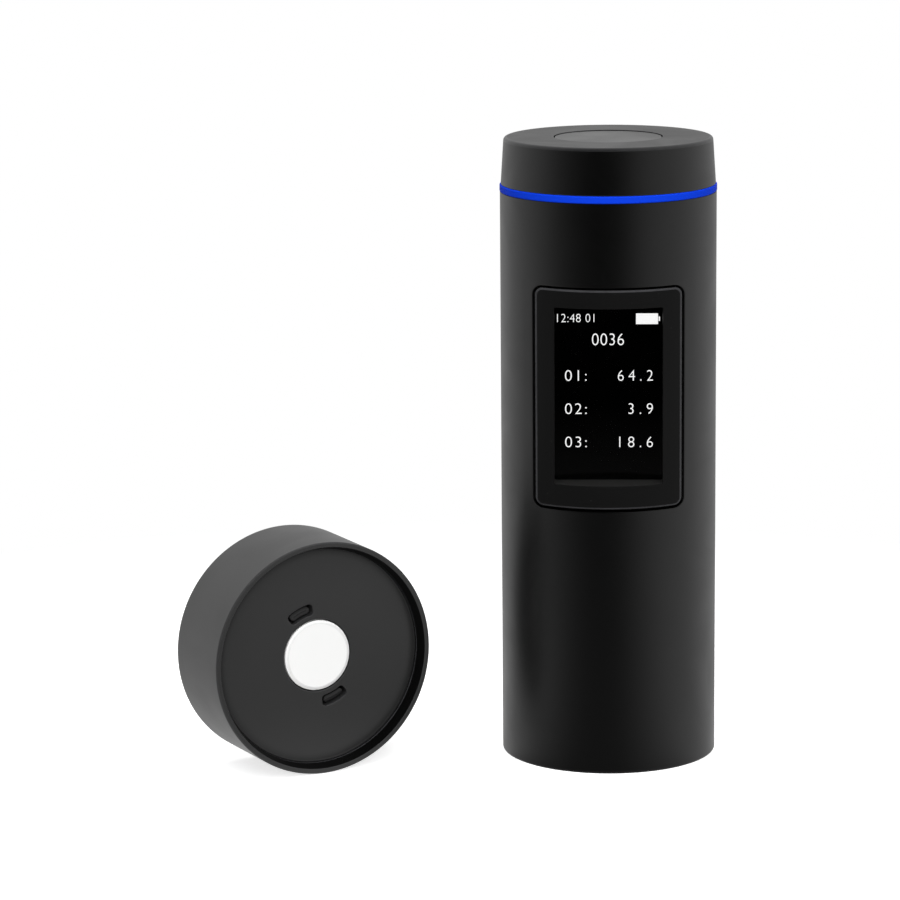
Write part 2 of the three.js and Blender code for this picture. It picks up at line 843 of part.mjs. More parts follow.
function makeBase() {
  const radius = boreWall - fitGap;
  const grooveOuter = radius - sealGrooveEdge;
  const grooveInner = grooveOuter - sealGrooveWidth;
  const grooveFloor = baseThickness - sealGrooveDepth;
  const neck = boreWall - ledgeReach - fitGap;
  const pocket = windowGlassRadius + screwGap;
  const blank = turned([
    [apertureRadius, 0],
    [radius, 0],
    [radius, baseThickness],
    [grooveOuter, baseThickness],
    [grooveOuter, grooveFloor],
    [grooveInner, grooveFloor],
    [grooveInner, baseThickness],
    [neck, baseThickness],
    [neck, ledgeTop],
    [pocket, ledgeTop],
    [pocket, windowSeatHeight],
    [windowGlassRadius - windowSeatWidth, windowSeatHeight],
  ]);
  const shank = disc(baseScrewRadius + screwGap, -overrun, ledgeTop + overrun, smallSides);
  const head = disc(
    baseScrewHead + fitGap, -overrun, baseScrewSink + baseScrewHeadHeight, smallSides);
  const hole = shank.add(head).translate([baseScrewCircle, 0, 0]);
  return without(blank, around(hole, screwCount, baseScrewStartAngle));
}

function makeWindowGlass() {
  return disc(windowGlassRadius, windowSeatHeight, windowGlassTop);
}

function makeSeal() {
  const grooveOuter = boreWall - fitGap - sealGrooveEdge;
  return ring(
    grooveOuter - sealGrooveWidth + sealSideGap, grooveOuter - sealSideGap,
    baseThickness - sealGrooveDepth, baseThickness, bodySides);
}

// Distances along a lamp's axis, from the middle of the aperture: its seat and its tip.
function lampSeat() {
  return lampLeadCircle / Math.sin(lampTilt) - lampLeadRun;
}

function lampTip() {
  return lampSeat() - lampLength;
}

// Lays a body that was drawn up the Z axis along the axis of the first lamp.
function tilted(body) {
  return body.rotate([0, (lampTilt * 180) / Math.PI, 0]);
}

function makeOptics() {
  const noseRadius = windowGlassRadius - screwGap;
  const noseBore = noseRadius - noseWall;
  const blank = joined([
    disc(bodyFit, ledgeTop, opticsTop),
    disc(noseRadius, windowGlassTop, ledgeTop + overrun),
  ]);
  const corner = lampTip() * Math.sin(lampTilt) + chamberFlare;
  const cornerHeight = lampTip() * Math.cos(lampTilt);
  const boreRadius = lensRadius - lensLap;
  const lensPocket = lensRadius + screwGap;
  const chamber = turned([
    [0, windowGlassTop - overrun],
    [noseBore, windowGlassTop - overrun],
    [noseBore, ledgeTop],
    [corner, cornerHeight],
    [boreRadius, boreBottom],
    [boreRadius, lensSeat],
    [lensPocket, lensSeat],
    [lensPocket, opticsTop + overrun],
    [0, opticsTop + overrun],
  ], innerSides);
  const far = bodyFit / Math.sin(lampTilt) + overrun;
  const lampBore = disc(lampRadius + runningGap, lampTip() - overrun, lampSeat() + overrun, smallSides);
  const lampWell = disc(lampRadius + lampFlangeWidth + runningGap, lampSeat(), far, smallSides);
  const leadHalf = lampLeadSpread + lampLeadSide;
  const channel = block(
    lampLeadCircle - lampLeadSide - fitGap, bodyFit + overrun, -leadHalf, leadHalf,
    lampLeadCircle - lampLeadSide, opticsTop + overrun);
  const lampCut = tilted(lampBore.add(lampWell)).add(channel);
  const screwHole = disc(
    baseScrewRadius + screwGap, ledgeTop - overrun, opticsTop + overrun, smallSides)
    .translate([baseScrewCircle, 0, 0]);
  return without(blank, [
    chamber, ...around(lampCut, lampCount), ...around(screwHole, screwCount, baseScrewStartAngle)]);
}

function makeLamps() {
  const tip = lampTip();
  const seat = lampSeat();
  const back = seat + lampFlangeHeight;
  const dome = arc(0, tip + lampRadius, lampRadius, -Math.PI / 2, 0);
  dome[0] = [0, tip];
  const body = turned([
    ...dome,
    [lampRadius, seat],
    [lampRadius + lampFlangeWidth, seat],
    [lampRadius + lampFlangeWidth, back],
    [0, back],
  ], smallSides);
  const half = lampLeadSide / 2;
  const leadEnd = lampLeadCircle / Math.sin(lampTilt);
  const leads = [-lampLeadSpread, lampLeadSpread].map((y) => {
    const slanted = block(-half, half, y - half, y + half, back - half, leadEnd + half);
    const upright = block(
      lampLeadCircle - half, lampLeadCircle + half, y - half, y + half, lampLeadCircle - half,
      opticsTop);
    return tilted(slanted).add(upright);
  });
  return around(joined([tilted(body), ...leads]), lampCount);
}

function makeLens() {
  const rimTop = lensSeat + lensRim;
  const bulge = (lensRadius ** 2 + lensCrown ** 2) / (2 * lensCrown);
  const half = Math.asin(lensRadius / bulge);
  const crown = arc(0, rimTop + lensCrown - bulge, bulge, Math.PI / 2 - half, Math.PI / 2);
  crown[0] = [lensRadius, rimTop];
  crown[crown.length - 1] = [0, rimTop + lensCrown];
  return turned([[0, lensSeat], [lensRadius, lensSeat], ...crown], smallSides);
}

function makeSensorChip() {
  const half = sensorSide / 2;
  return block(-half, half, -half, half, opticsTop - sensorHeight, opticsTop);
}

function makeSensorBoard() {
  const board = disc(bodyFit - fitGap, opticsTop, sensorBoardTop);
  const hole = disc(
    baseScrewRadius + screwGap, opticsTop - overrun, sensorBoardTop + overrun, smallSides)
    .translate([baseScrewCircle, 0, 0]);
  return without(board, around(hole, screwCount, baseScrewStartAngle));
}

function makeBaseScrews() {
  const headTop = baseScrewSink + baseScrewHeadHeight;
  const length = chassisPlateTop - baseScrewTipGap - headTop;
  const placed = screw(baseScrewRadius, length, baseScrewHead, baseScrewHeadHeight)
    .translate([baseScrewCircle, 0, baseScrewSink]);
  return around(placed, screwCount, baseScrewStartAngle);
}

// Calibration cap, drawn along Z with its closed back at zero and its mouth at the top

function fromRim(depth) {
  return capLength - depth;
}

function makeCapShell() {
  const seat = fromRim(faceDepth + facePlateThickness + seatGap);
  const bossTop = fromRim(carrierBack() + seatGap);
  return joined([
    turned([
      [0, 0],
      [capRadius - capEdge, 0],
      [capRadius, capEdge],
      [capRadius, capLength - capEdge],
      [capRadius - capEdge, capLength],
      [capRadius - rimWidth, capLength],
      [capLand, fromRim(leadInDepth)],
      [capLand, seat],
      [capStep, seat],
      [capStep, capFloor],
      [0, capFloor],
    ]),
    ring(tileRadius - capBossWall, tileRadius, capFloor - capFloor / 2, bossTop),
  ]);
}

// An arc-shaped bar about Z: between two radii, to both sides of an angle.
function arcBar(inner, outer, halfAngle, bottom, top) {
  const shape = new THREE.Shape();
  shape.absarc(0, 0, outer, -halfAngle, halfAngle);
  shape.absarc(0, 0, inner, halfAngle, -halfAngle, true);
  const geometry = new THREE.ExtrudeGeometry(
    shape, { depth: top - bottom, bevelEnabled: false, curveSegments: 2 * arcSteps });
  geometry.translate(0, 0, bottom);
  return solid(geometry);
}

function slotDegrees() {
  return (slotAngle * 180) / Math.PI;
}

function makeFacePlate() {
  const bottom = fromRim(faceDepth + facePlateThickness);
  const top = fromRim(faceDepth);
  const plate = ring(tileHole, capLand - seatGap, bottom, top, bodySides);
  const slot = arcBar(slotInner, slotOuter, slotHalfAngle, bottom - overrun, top + overrun);
  return without(plate, around(slot, 2, slotDegrees()));
}

function tileBack() {
  return faceDepth - tileProud + tileThickness;
}

function makeTile() {
  const front = fromRim(faceDepth - tileProud);
  return turned([
    [0, fromRim(tileBack())],
    [tileRadius, fromRim(tileBack())],
    [tileRadius, front - tileBevel],
    [tileRadius - tileBevel, front],
    [0, front],
  ], bodySides);
}

function makeCushion() {
  const front = tileBack() + seatGap;
  return disc(tileRadius - fitGap, fromRim(front + cushionThickness), fromRim(front));
}

function carrierFront() {
  return tileBack() + cushionThickness + 2 * seatGap;
}

function carrierBack() {
  return carrierFront() + carrierFloor;
}

function makeCarrier() {
  const floor = disc(slotOuter + carrierMargin, fromRim(carrierBack()), fromRim(carrierFront()));
  const wall = ring(
    tileRadius + runningGap, tileRadius + carrierWall, fromRim(carrierBack() - carrierFloor / 2),
    fromRim(faceDepth + facePlateThickness + seatGap));
  const hookAngle = slotHalfAngle - hookGap / slotInner;
  const hook = arcBar(
    slotInner + hookGap, slotOuter - hookGap, hookAngle,
    fromRim(carrierBack() - carrierFloor / 2), fromRim(faceDepth + hookSink));
  return joined([floor, wall, ...around(hook, 2, slotDegrees())]);
}

// Assembly

function add(group, name, body, material) {
  const mesh = new THREE.Mesh(toGeometry(body), material);
  mesh.name = name;
  group.add(mesh);
}

function addRow(group, name, bodies, material) {
  bodies.forEach((body, i) => add(group, `${name}_${i + 1}`, body, material));
}

const instrument = new THREE.Group();
add(instrument, 'barrel', makeBarrel(), materials.satinBlack);
add(instrument, 'accent_ring', makeAccentRing(), materials.accentBlue);
add(instrument, 'top_cap', makeTopCap(), materials.topBlack);
add(instrument, 'measure_button', makeButton(), materials.buttonBlack);
add(instrument, 'switch_plunger', makePlunger(), materials.connector);
add(instrument, 'switch_housing', makeSwitchHousing(), materials.chip);
add(instrument, 'switch_board', makeSwitchBoard(), materials.circuitBoard);
addRow(instrument, 'switch_screw', makeSwitchScrews(), materials.steel);
add(instrument, 'switch_connector', makeSwitchPlug(), materials.connector);
add(instrument, 'switch_flex', makeSwitchLead(), materials.flatLead);

add(instrument, 'display_bezel', makeBezel(), materials.bezelBlack);
add(instrument, 'display_glass', makeGlass(), materials.glass);
add(instrument, 'display_panel', makePanel(), materials.screen);
add(instrument, 'display_flex', makeDisplayLead(), materials.flatLead);
add(instrument, 'display_connector', makeDisplayPlug(), materials.connector);

add(instrument, 'chassis', makeChassis(), materials.innerPlastic);
add(instrument, 'main_board', makeMainBoard(), materials.circuitBoard);
add(instrument, 'processor_chip', makeChip(), materials.chip);
addRow(instrument, 'board_screw', makeBoardScrews(), materials.steel);
add(instrument, 'battery', makeBattery(), materials.cell);
add(instrument, 'battery_connector', makeBatteryPlug(), materials.connector);
add(instrument, 'battery_lead_red', makeBatteryLead(-1), materials.leadRed);
add(instrument, 'battery_lead_black', makeBatteryLead(1), materials.leadBlack);

add(instrument, 'charge_board', makeChargeBoard(), materials.circuitBoard);
add(instrument, 'charge_flex', bridge(-1, chargeBoardTop), materials.flatLead);
add(instrument, 'charge_connector', lowPlug(-1), materials.connector);
add(instrument, 'usb_receptacle', makePort(), materials.steel);

add(instrument, 'sensor_board', makeSensorBoard(), materials.circuitBoard);
add(instrument, 'sensor_chip', makeSensorChip(), materials.chip);
add(instrument, 'sensor_lens', makeLens(), materials.glass);
add(instrument, 'sensor_flex', bridge(1, sensorBoardTop), materials.flatLead);
add(instrument, 'sensor_connector', lowPlug(1), materials.connector);
add(instrument, 'optics_housing', makeOptics(), materials.opticsBlack);
addRow(instrument, 'led', makeLamps(), materials.lamp);
add(instrument, 'measuring_base', makeBase(), materials.innerPlastic);
add(instrument, 'aperture_window', makeWindowGlass(), materials.glass);
add(instrument, 'base_seal', makeSeal(), materials.rubber);
addRow(instrument, 'base_screw', makeBaseScrews(), materials.steel);

const calibrationCap = new THREE.Group();
add(calibrationCap, 'cap_shell', makeCapShell(), materials.capBlack);
add(calibrationCap, 'cap_face_plate', makeFacePlate(), materials.capBlack);
add(calibrationCap, 'white_tile', makeTile(), materials.whiteTile);
add(calibrationCap, 'tile_carrier', makeCarrier(), materials.innerPlastic);
add(calibrationCap, 'tile_cushion', makeCushion(), materials.foam);

// The cap stands on its side wall: its own Z is the way that its mouth faces, its own Y is up.
const mouthWay = new THREE.Vector3(Math.sin(capTurn), -Math.cos(capTurn), 0);
const sideWay = new THREE.Vector3(Math.cos(capTurn), Math.sin(capTurn), 0);
const upWay = new THREE.Vector3(0, 0, 1);
calibrationCap.setRotationFromMatrix(new THREE.Matrix4().makeBasis(sideWay, upWay, mouthWay));
calibrationCap.position.set(capAside, capForward, capRadius).addScaledVector(mouthWay, -capLength);

// The origin: the middle of the box round the whole part, at its lowest point.
const group = new THREE.Group();
group.add(instrument, calibrationCap);
group.updateMatrixWorld(true);
const box = new THREE.Box3().setFromObject(group, true);
const middle = box.getCenter(new THREE.Vector3());
group.position.set(-middle.x, -middle.y, -box.min.z);

export default group;
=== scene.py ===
# %% [markdown]
# # A pocket colorimeter and its calibration cap
#
# The object is a plain black cylinder, 31 mm across and 90 mm tall, that is held in the fist and pressed
# with its lower end onto a surface whose colour is wanted. A round button in the top starts the
# measurement and a small display in the side shows the result. The cap beside it holds a white tile, and
# the instrument is checked against that tile before use.
#
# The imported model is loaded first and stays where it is. Its pieces have few faces, so what the eye meets
# is made again here, finer, in the same places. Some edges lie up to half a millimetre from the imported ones.

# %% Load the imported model
import math

import bmesh
import bpy
import numpy as np
from mathutils import Matrix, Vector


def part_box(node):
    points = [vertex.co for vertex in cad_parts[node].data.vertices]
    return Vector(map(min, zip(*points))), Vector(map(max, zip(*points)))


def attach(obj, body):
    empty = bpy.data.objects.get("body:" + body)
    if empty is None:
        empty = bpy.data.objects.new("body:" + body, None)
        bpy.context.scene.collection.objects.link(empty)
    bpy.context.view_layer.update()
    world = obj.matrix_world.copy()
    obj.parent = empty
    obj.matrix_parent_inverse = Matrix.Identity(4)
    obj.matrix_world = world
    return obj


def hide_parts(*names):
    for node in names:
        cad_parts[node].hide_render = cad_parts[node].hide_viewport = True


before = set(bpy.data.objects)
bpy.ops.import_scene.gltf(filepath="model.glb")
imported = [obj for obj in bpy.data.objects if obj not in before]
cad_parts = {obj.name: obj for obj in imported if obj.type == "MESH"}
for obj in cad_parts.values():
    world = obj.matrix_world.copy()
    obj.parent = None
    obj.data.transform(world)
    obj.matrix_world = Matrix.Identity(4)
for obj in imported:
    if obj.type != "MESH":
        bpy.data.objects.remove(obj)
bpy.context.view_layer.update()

# %% [markdown]
# ## Two frames of our own
#
# It is easier to draw the instrument round its own axis, in millimetres, than in the metres of the packed
# model. The cap lies on its side, so it gets a second frame: depth is measured up from its closed back,
# and the open mouth looks forward and a little to the right.

# %% Frames of the instrument and of the cap
MM = 0.001
ring_low, ring_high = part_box("accent_ring")
axis_place = np.array([(ring_low.x + ring_high.x) / 2, (ring_low.y + ring_high.y) / 2, 0.0])

CAP_LENGTH = 13.5
CAP_RADIUS = 17.1
CAP_TURN = math.radians(30)
cap_mouth = np.array([-40.8, -15.65, CAP_RADIUS])
cap_side = np.array([math.cos(CAP_TURN), math.sin(CAP_TURN), 0.0])
cap_up = np.array([0.0, 0.0, 1.0])
cap_out = np.array([math.sin(CAP_TURN), -math.cos(CAP_TURN), 0.0])


def round_instrument(points):
    """Millimetres round the instrument's axis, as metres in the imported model's frame."""
    return points * MM + axis_place


def round_cap(points):
    """A point's first two numbers go along the cap's side and up directions, and its third from the
    closed back towards the mouth. The sum of the three, each along its own direction, is the place."""
    back = cap_mouth - CAP_LENGTH * cap_out
    turned = back + points @ np.stack([cap_side, cap_up, cap_out])
    return round_instrument(turned)


print("instrument axis at", np.round(axis_place, 5))

# %% [markdown]
# ## The camera
#
# The photograph was fitted beforehand: the cylinder's sides and two ends, the blue ring and the gap round
# the button give where the camera stood, how it was turned and how long its lens was. The frame is square,
# so the lens follows from the focal length in pixels and a sensor 36 mm wide.

# %% Camera
CAMERA_PLACE = np.array([-0.97, -564.3, 155.2])
CAMERA_YAW = -0.0392
CAMERA_PITCH = 0.1935
CAMERA_ROLL = -0.0085
FOCAL_PIXELS = 3941.6
PICTURE_PIXELS = 900
SENSOR_WIDTH = 36.0
NEAREST_SEEN = 0.01


def linked(name, data):
    """A new object that holds the data, put into the scene."""
    made = bpy.data.objects.new(name, data)
    bpy.context.scene.collection.objects.link(made)
    return made


def placing(side, up, back, place):
    """An object's matrix, from the directions of its own three axes and its place."""
    matrix = np.eye(4)
    matrix[:3, :3] = np.stack([side, up, back], axis=1)
    matrix[:3, 3] = place
    return Matrix(matrix.tolist())


forward = np.array([
    math.sin(CAMERA_YAW) * math.cos(CAMERA_PITCH),
    math.cos(CAMERA_YAW) * math.cos(CAMERA_PITCH),
    -math.sin(CAMERA_PITCH),
])
level_right = np.array([math.cos(CAMERA_YAW), -math.sin(CAMERA_YAW), 0.0])
level_up = np.cross(level_right, forward)
camera_right = level_right * math.cos(CAMERA_ROLL) + level_up * math.sin(CAMERA_ROLL)
camera_up = level_up * math.cos(CAMERA_ROLL) - level_right * math.sin(CAMERA_ROLL)

camera_data = bpy.data.cameras.new("camera")
camera_data.sensor_width = SENSOR_WIDTH
camera_data.lens = FOCAL_PIXELS * SENSOR_WIDTH / PICTURE_PIXELS
camera_data.clip_start = NEAREST_SEEN
camera = linked("camera", camera_data)
camera.matrix_world = placing(camera_right, camera_up, -forward, round_instrument(CAMERA_PLACE))
bpy.context.scene.camera = camera
bpy.context.scene.view_settings.view_transform = "Standard"
print("lens", round(camera_data.lens, 1), "mm")

# %% [markdown]
# ## From arrays to a piece
#
# Every new piece is an array of points and an array of four-cornered faces. The signed volume of a closed
# shape tells whether its faces look out or in: it is the sum, over the faces, of the volume of the
# tetrahedron between the face and the origin, and it is negative when the shape is inside out. Each point
# also carries a number called edge: one on the small roundings that hands rub, minus one in inner corners
# where dust stays, and nought elsewhere. The materials read it later. The roundings get an edge tone that
# is wear and painted light: a painted highlight on dark plastic and a painted shade line on the white tile.
# The inner corners get a dust tone, which in the display frame's window tunnel is also painted light.

# %% Make a piece
SHARP_ANGLE = math.radians(35)
WELD = 1e-7


def signed_volume(points, faces):
    """A sixth of the sum of a . (b x c) over each face's two triangles."""
    a, b, c, d = (points[faces[:, k]] for k in range(4))
    return (np.einsum("ij,ij->", a, np.cross(b, c)) + np.einsum("ij,ij->", a, np.cross(c, d))) / 6


def make_piece(name, shells, place, body, slot, *replaced):
    """Joins shells, each a tuple of points, faces and edge numbers, into one object that rides on a body."""
    points, faces, edges, count = [], [], [], 0
    for shell_points, shell_faces, shell_edges in shells:
        placed = place(shell_points)
        if signed_volume(placed, shell_faces) < 0:
            shell_faces = shell_faces[:, ::-1]
        points.append(placed)
        faces.append(shell_faces + count)
        edges.append(shell_edges)
        count += len(placed)
    mesh = bpy.data.meshes.new(name)
    mesh.from_pydata(np.concatenate(points).tolist(), [], np.concatenate(faces).tolist())
    layer = mesh.attributes.new("edge", "FLOAT", "POINT")
    layer.data.foreach_set("value", np.concatenate(edges).astype(np.float32))
    weld(mesh)
    mesh.shade_smooth()
    mesh.set_sharp_from_angle(angle=SHARP_ANGLE)
    made = linked(name, mesh)
    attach(made, body)
    if replaced:
        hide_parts(*replaced)
    print(name, len(mesh.vertices), "points", len(mesh.polygons), "faces")
    return made


def weld(mesh):
    """Merges points that lie on each other, as at the poles of a turned shape, and drops empty faces."""
    work = bmesh.new()
    work.from_mesh(mesh)
    bmesh.ops.remove_doubles(work, verts=work.verts, dist=WELD)
    bmesh.ops.dissolve_degenerate(work, edges=work.edges, dist=WELD / 10)
    work.to_mesh(mesh)
    work.free()


# %% [markdown]
# ## Corners with a radius
#
# Nothing that comes out of a mould or off a lathe has a perfectly sharp edge. It is the small roundings
# that catch the light, and without them a black object is only a dark patch. A corner is replaced by a
# short arc that touches both of its sides. One more point close to each end of the arc keeps the large
# faces beside it flat, because smooth shading would otherwise bend them.

# %% Profiles with rounded corners
ARC_STEPS = 6
HOLD = 0.07
LONGEST_RUN = 0.45
LONGEST_HOLD = 0.04


def softened(corners, closed=True):
    """Corners are (radius, height, rounding). An arc of size s leaves a corner with half angle h at the
    distance s / tan(h), and its middle lies s / sin(h) away along the line that halves the corner. Arc and
    extra point take no more than a set share of the shorter side."""
    points, edges = [], []
    count = len(corners)
    turn = np.sign(profile_area(np.array(corners)[:, :2]))
    for k, (radius, height, size) in enumerate(corners):
        here = np.array([radius, height])
        ends = not closed and k in (0, count - 1)
        if size <= 0 or ends:
            points.append(here[None])
            edges.append([0.0])
            continue
        before = np.array(corners[k - 1][:2]) - here
        after = np.array(corners[(k + 1) % count][:2]) - here
        reach = min(np.linalg.norm(before), np.linalg.norm(after))
        before = before / np.linalg.norm(before)
        after = after / np.linalg.norm(after)
        half = np.arccos(np.clip(before @ after, -1, 1)) / 2
        run = min(size / np.tan(half), reach * LONGEST_RUN)
        size = run * np.tan(half)
        middle = here + (before + after) / np.linalg.norm(before + after) * size / np.sin(half)
        spokes = np.stack([here + before * run - middle, here + after * run - middle])
        sweep = np.pi - 2 * half
        share = np.linspace(0, 1, ARC_STEPS + 1)[:, None]
        arc = (np.sin((1 - share) * sweep) * spokes[0] + np.sin(share * sweep) * spokes[1]) / np.sin(sweep)
        hold = min(HOLD, reach * LONGEST_HOLD)
        stretch = [here + before * (run + hold), *(middle + arc), here + after * (run + hold)]
        points.append(np.array(stretch))
        bulges = np.sign(np.cross(-before, after)) == turn
        edges.append([0.0, *([1.0 if bulges else -1.0] * (ARC_STEPS + 1)), 0.0])
    return np.concatenate(points), np.concatenate(edges)


def profile_area(points):
    """Half the sum of the cross products of neighbouring corners: positive when they run anticlockwise."""
    following = np.roll(points, -1, axis=0)
    return 0.5 * np.sum(points[:, 0] * following[:, 1] - following[:, 0] * points[:, 1])


# %% [markdown]
# ## Turned shapes
#
# Most of this instrument comes off a lathe, or out of a round mould, which amounts to the same: a profile
# carried round an axis. The two parameters are the angle and the place along the profile.

# %% Lathe
SIDES = 192


def polar(radius, angle, height):
    """Points at a distance from the axis, an angle round it and a height."""
    parts = np.broadcast_arrays(radius * np.cos(angle), radius * np.sin(angle), height)
    return np.stack(parts, -1)


def turned(corners, sides=SIDES):
    """Point (angle, k) is the profile's k-th point at its radius along that angle, and at its height."""
    on_axis = corners[0][0] == 0 and corners[-1][0] == 0
    profile, edge = softened(corners, closed=not on_axis)
    angle = np.arange(sides)[:, None] * 2 * np.pi / sides
    points = polar(profile[:, 0], angle, profile[:, 1])
    faces = grid_faces(sides, len(profile), True, not on_axis)
    return points.reshape(-1, 3), faces, np.tile(edge, sides)


def grid_faces(rows, columns, rows_close, columns_close):
    """Face (i, j) joins the points (i, j), (i + 1, j), (i + 1, j + 1) and (i, j + 1)."""
    i, j = np.meshgrid(
        np.arange(rows if rows_close else rows - 1),
        np.arange(columns if columns_close else columns - 1),
        indexing="ij",
    )
    next_i, next_j = (i + 1) % rows, (j + 1) % columns
    corners = [i * columns + j, next_i * columns + j, next_i * columns + next_j, i * columns + next_j]
    return np.stack(corners, -1).reshape(-1, 4)


# %% [markdown]
# ## The button, the ring and the top cap
#
# The top cap plugs into the barrel with a thinner spigot and tapers a little upwards. A blue ring is
# clamped between it and the barrel, a twentieth of a millimetre proud. The button sits in the cap's bore a
# tenth of a millimetre below its face, so that the gap round it shows only as a fine dark line on the far
# side. Its flange below the plate keeps it from falling out, and its post reaches down to the push switch.

# %% Turned pieces of the instrument
BARREL_RADIUS = 15.6
BARREL_HEIGHT = 82.65
BORE_RADIUS = 14.3
RING_TOP = 83.7
TOP_FACE = 90.45
PLATE_BELOW = 88.65
BUTTON_TOP = 90.35
RING_RADIUS, RING_ROUND = 15.65, 0.18
SPIGOT_INNER, SPIGOT_OUTER, SPIGOT_END = 12.9, 14.1, 78.35
BUTTON_BORE, BUTTON_RADIUS = 7.85, 7.7
POST_RADIUS, POST_END = 1.6, 86.85
FLANGE_INNER, FLANGE_OUTER, FLANGE_END = 6.5, 8.7, 87.85

ring_profile = [
    (BORE_RADIUS, BARREL_HEIGHT, 0), (RING_RADIUS, BARREL_HEIGHT, RING_ROUND),
    (RING_RADIUS, RING_TOP, RING_ROUND), (BORE_RADIUS, RING_TOP, 0),
]
make_piece(
    "accent_ring_fine", [turned(ring_profile)], round_instrument, "instrument", "accent_blue",
    "accent_ring")
top_profile = [
    (SPIGOT_INNER, SPIGOT_END, 0.2), (SPIGOT_OUTER, SPIGOT_END, 0.3), (SPIGOT_OUTER, 79.75, 0),
    (14.45, 80.15, 0.1), (SPIGOT_OUTER, 80.55, 0), (SPIGOT_OUTER, RING_TOP, 0), (15.48, RING_TOP, 0.12),
    (15.047, TOP_FACE, 0.5), (BUTTON_BORE, TOP_FACE, 0.06), (BUTTON_BORE, PLATE_BELOW, 0.05),
    (SPIGOT_INNER, PLATE_BELOW, 0.3),
]
make_piece(
    "top_cap_fine", [turned(top_profile)], round_instrument, "instrument", "top_black", "top_cap")
button_profile = [
    (0, POST_END, 0), (POST_RADIUS, POST_END, 0.15), (POST_RADIUS, PLATE_BELOW, 0.2),
    (FLANGE_INNER, PLATE_BELOW, 0.2), (FLANGE_INNER, FLANGE_END, 0.1), (FLANGE_OUTER, FLANGE_END, 0.1),
    (FLANGE_OUTER, PLATE_BELOW, 0.1), (BUTTON_RADIUS, PLATE_BELOW, 0.1), (BUTTON_RADIUS, BUTTON_TOP, 0.12),
    (0, BUTTON_TOP, 0),
]
make_piece(
    "measure_button_fine", [turned(button_profile)], round_instrument, "button", "button_black",
    "measure_button")

# %% [markdown]
# ## A sheet with holes
#
# The barrel is a rolled-up rectangle with two holes in it: the display's and the charging port's. The
# cap's face plate is a ring with two slots. Both are one idea: a grid over two parameters, with a block of
# its cells taken out round each hole and the block's edge led to the hole's outline by rings of faces.
# The last rings sink in a quarter circle, so the hole's rim is rounded too.

# %% Sheets with holes
RIM = 0.12
RIM_ANGLES = np.linspace(0, np.pi / 2, 5)
LEVEL_RINGS = [0.55, 0.3]


def rounded_outline(half_width, low, high, corner, steps):
    """Points round a rounded rectangle, anticlockwise from the middle of its lower left corner. Steps are
    those of half a corner, of a level side and of an upright side."""
    half_corner, across, upward = steps
    inner = half_width - corner
    centres = np.array([[-inner, low + corner], [inner, low + corner], [inner, high - corner],
                        [-inner, high - corner]])
    parts = []
    for k in range(4):
        angle = np.linspace(0, np.pi / 2, 2 * half_corner + 1) + np.pi + k * np.pi / 2
        arc = centres[k] + corner * np.stack([np.cos(angle), np.sin(angle)], -1)
        following = centres[(k + 1) % 4] + corner * np.array([np.cos(angle[-1]), np.sin(angle[-1])])
        share = np.linspace(0, 1, (across, upward)[k % 2] + 1)[1:-1, None]
        parts.append(arc)
        parts.append(arc[-1] * (1 - share) + following * share)
    return np.roll(np.concatenate(parts), -half_corner, axis=0)


def sheet(u, v, holes, u_size):
    """Point (i, j) is (u_i, v_j), and u closes on itself. A hole is its block of cells and its outline. On
    the way in from the block's edge, a ring stands at a set distance from the outline; u_size turns a
    step of u into millimetres for that. Returns the points, their sinking, the faces and the open edges."""
    rows, columns = len(u), len(v)
    points = [np.stack(np.meshgrid(u, v, indexing="ij"), -1).reshape(-1, 2)]
    sinks = [np.zeros(rows * columns)]
    cells = grid_faces(rows, columns, True, False).reshape(rows, columns - 1, 4)
    kept = np.ones((rows, columns - 1), bool)
    metric = np.array([u_size, 1.0])
    distances = np.concatenate([LEVEL_RINGS, RIM * (1 - np.sin(RIM_ANGLES))])
    depths = np.concatenate([np.zeros(len(LEVEL_RINGS)), RIM * (1 - np.cos(RIM_ANGLES))])
    count, ring_faces, open_edges = rows * columns, [], []
    for (i0, i1, j0, j1), outline in holes:
        kept[i0:i1, j0:j1] = False
        across, up = np.arange(i0, i1), np.arange(j0, j1)
        border = np.concatenate([
            across * columns + j0, i1 * columns + up,
            (across[::-1] + 1) * columns + j1, i0 * columns + up[::-1] + 1,
        ])
        start = points[0][border]
        length = np.linalg.norm((outline - start) * metric, axis=1)
        outer = border
        for distance, depth in zip(distances, depths):
            share = (1 - distance / length)[:, None]
            points.append(start * (1 - share) + outline * share)
            sinks.append(np.full(len(border), depth))
            inner = np.arange(count, count + len(border))
            ring_faces.append(np.stack([outer, np.roll(outer, -1), np.roll(inner, -1), inner], -1))
            count += len(border)
            outer = inner
        open_edges.append(outer)
    open_edges.append(np.arange(rows)[::-1] * columns)
    open_edges.append(np.arange(rows) * columns + columns - 1)
    faces = np.concatenate([cells[kept], *ring_faces])
    return np.concatenate(points), np.concatenate(sinks), faces, open_edges


def walled(flat, front, back):
    """Gives a sheet two sides and closes the gap between them along every open edge. Front is the side
    that u x v points to. Both are functions of the sheet's points and their sinking."""
    points, sinks, faces, open_edges = flat
    count = len(points)
    walls = [np.stack([e, np.roll(e, -1), np.roll(e, -1) + count, e + count], -1) for e in open_edges]
    both = np.concatenate([front(points, sinks), back(points, sinks)])
    return both, np.concatenate([faces, faces[:, ::-1] + count, *walls])


def without_loose_points(points, faces, edges):
    """Keeps only the points that a face uses."""
    used = np.unique(faces)
    renumbered = np.zeros(len(points), int)
    renumbered[used] = np.arange(len(used))
    return points[used], renumbered[faces], edges[used]


# %% [markdown]
# ## The barrel
#
# The barrel is a tube with a wall of 1.3 mm. Angles run from its front. The display's hole is cut straight
# back, not towards the axis, so a point of the inner wall behind that hole keeps the sideways place of the
# outer point in front of it. A ledge inside near the bottom carries the measuring base, and a groove near
# the top takes the top cap's bead.

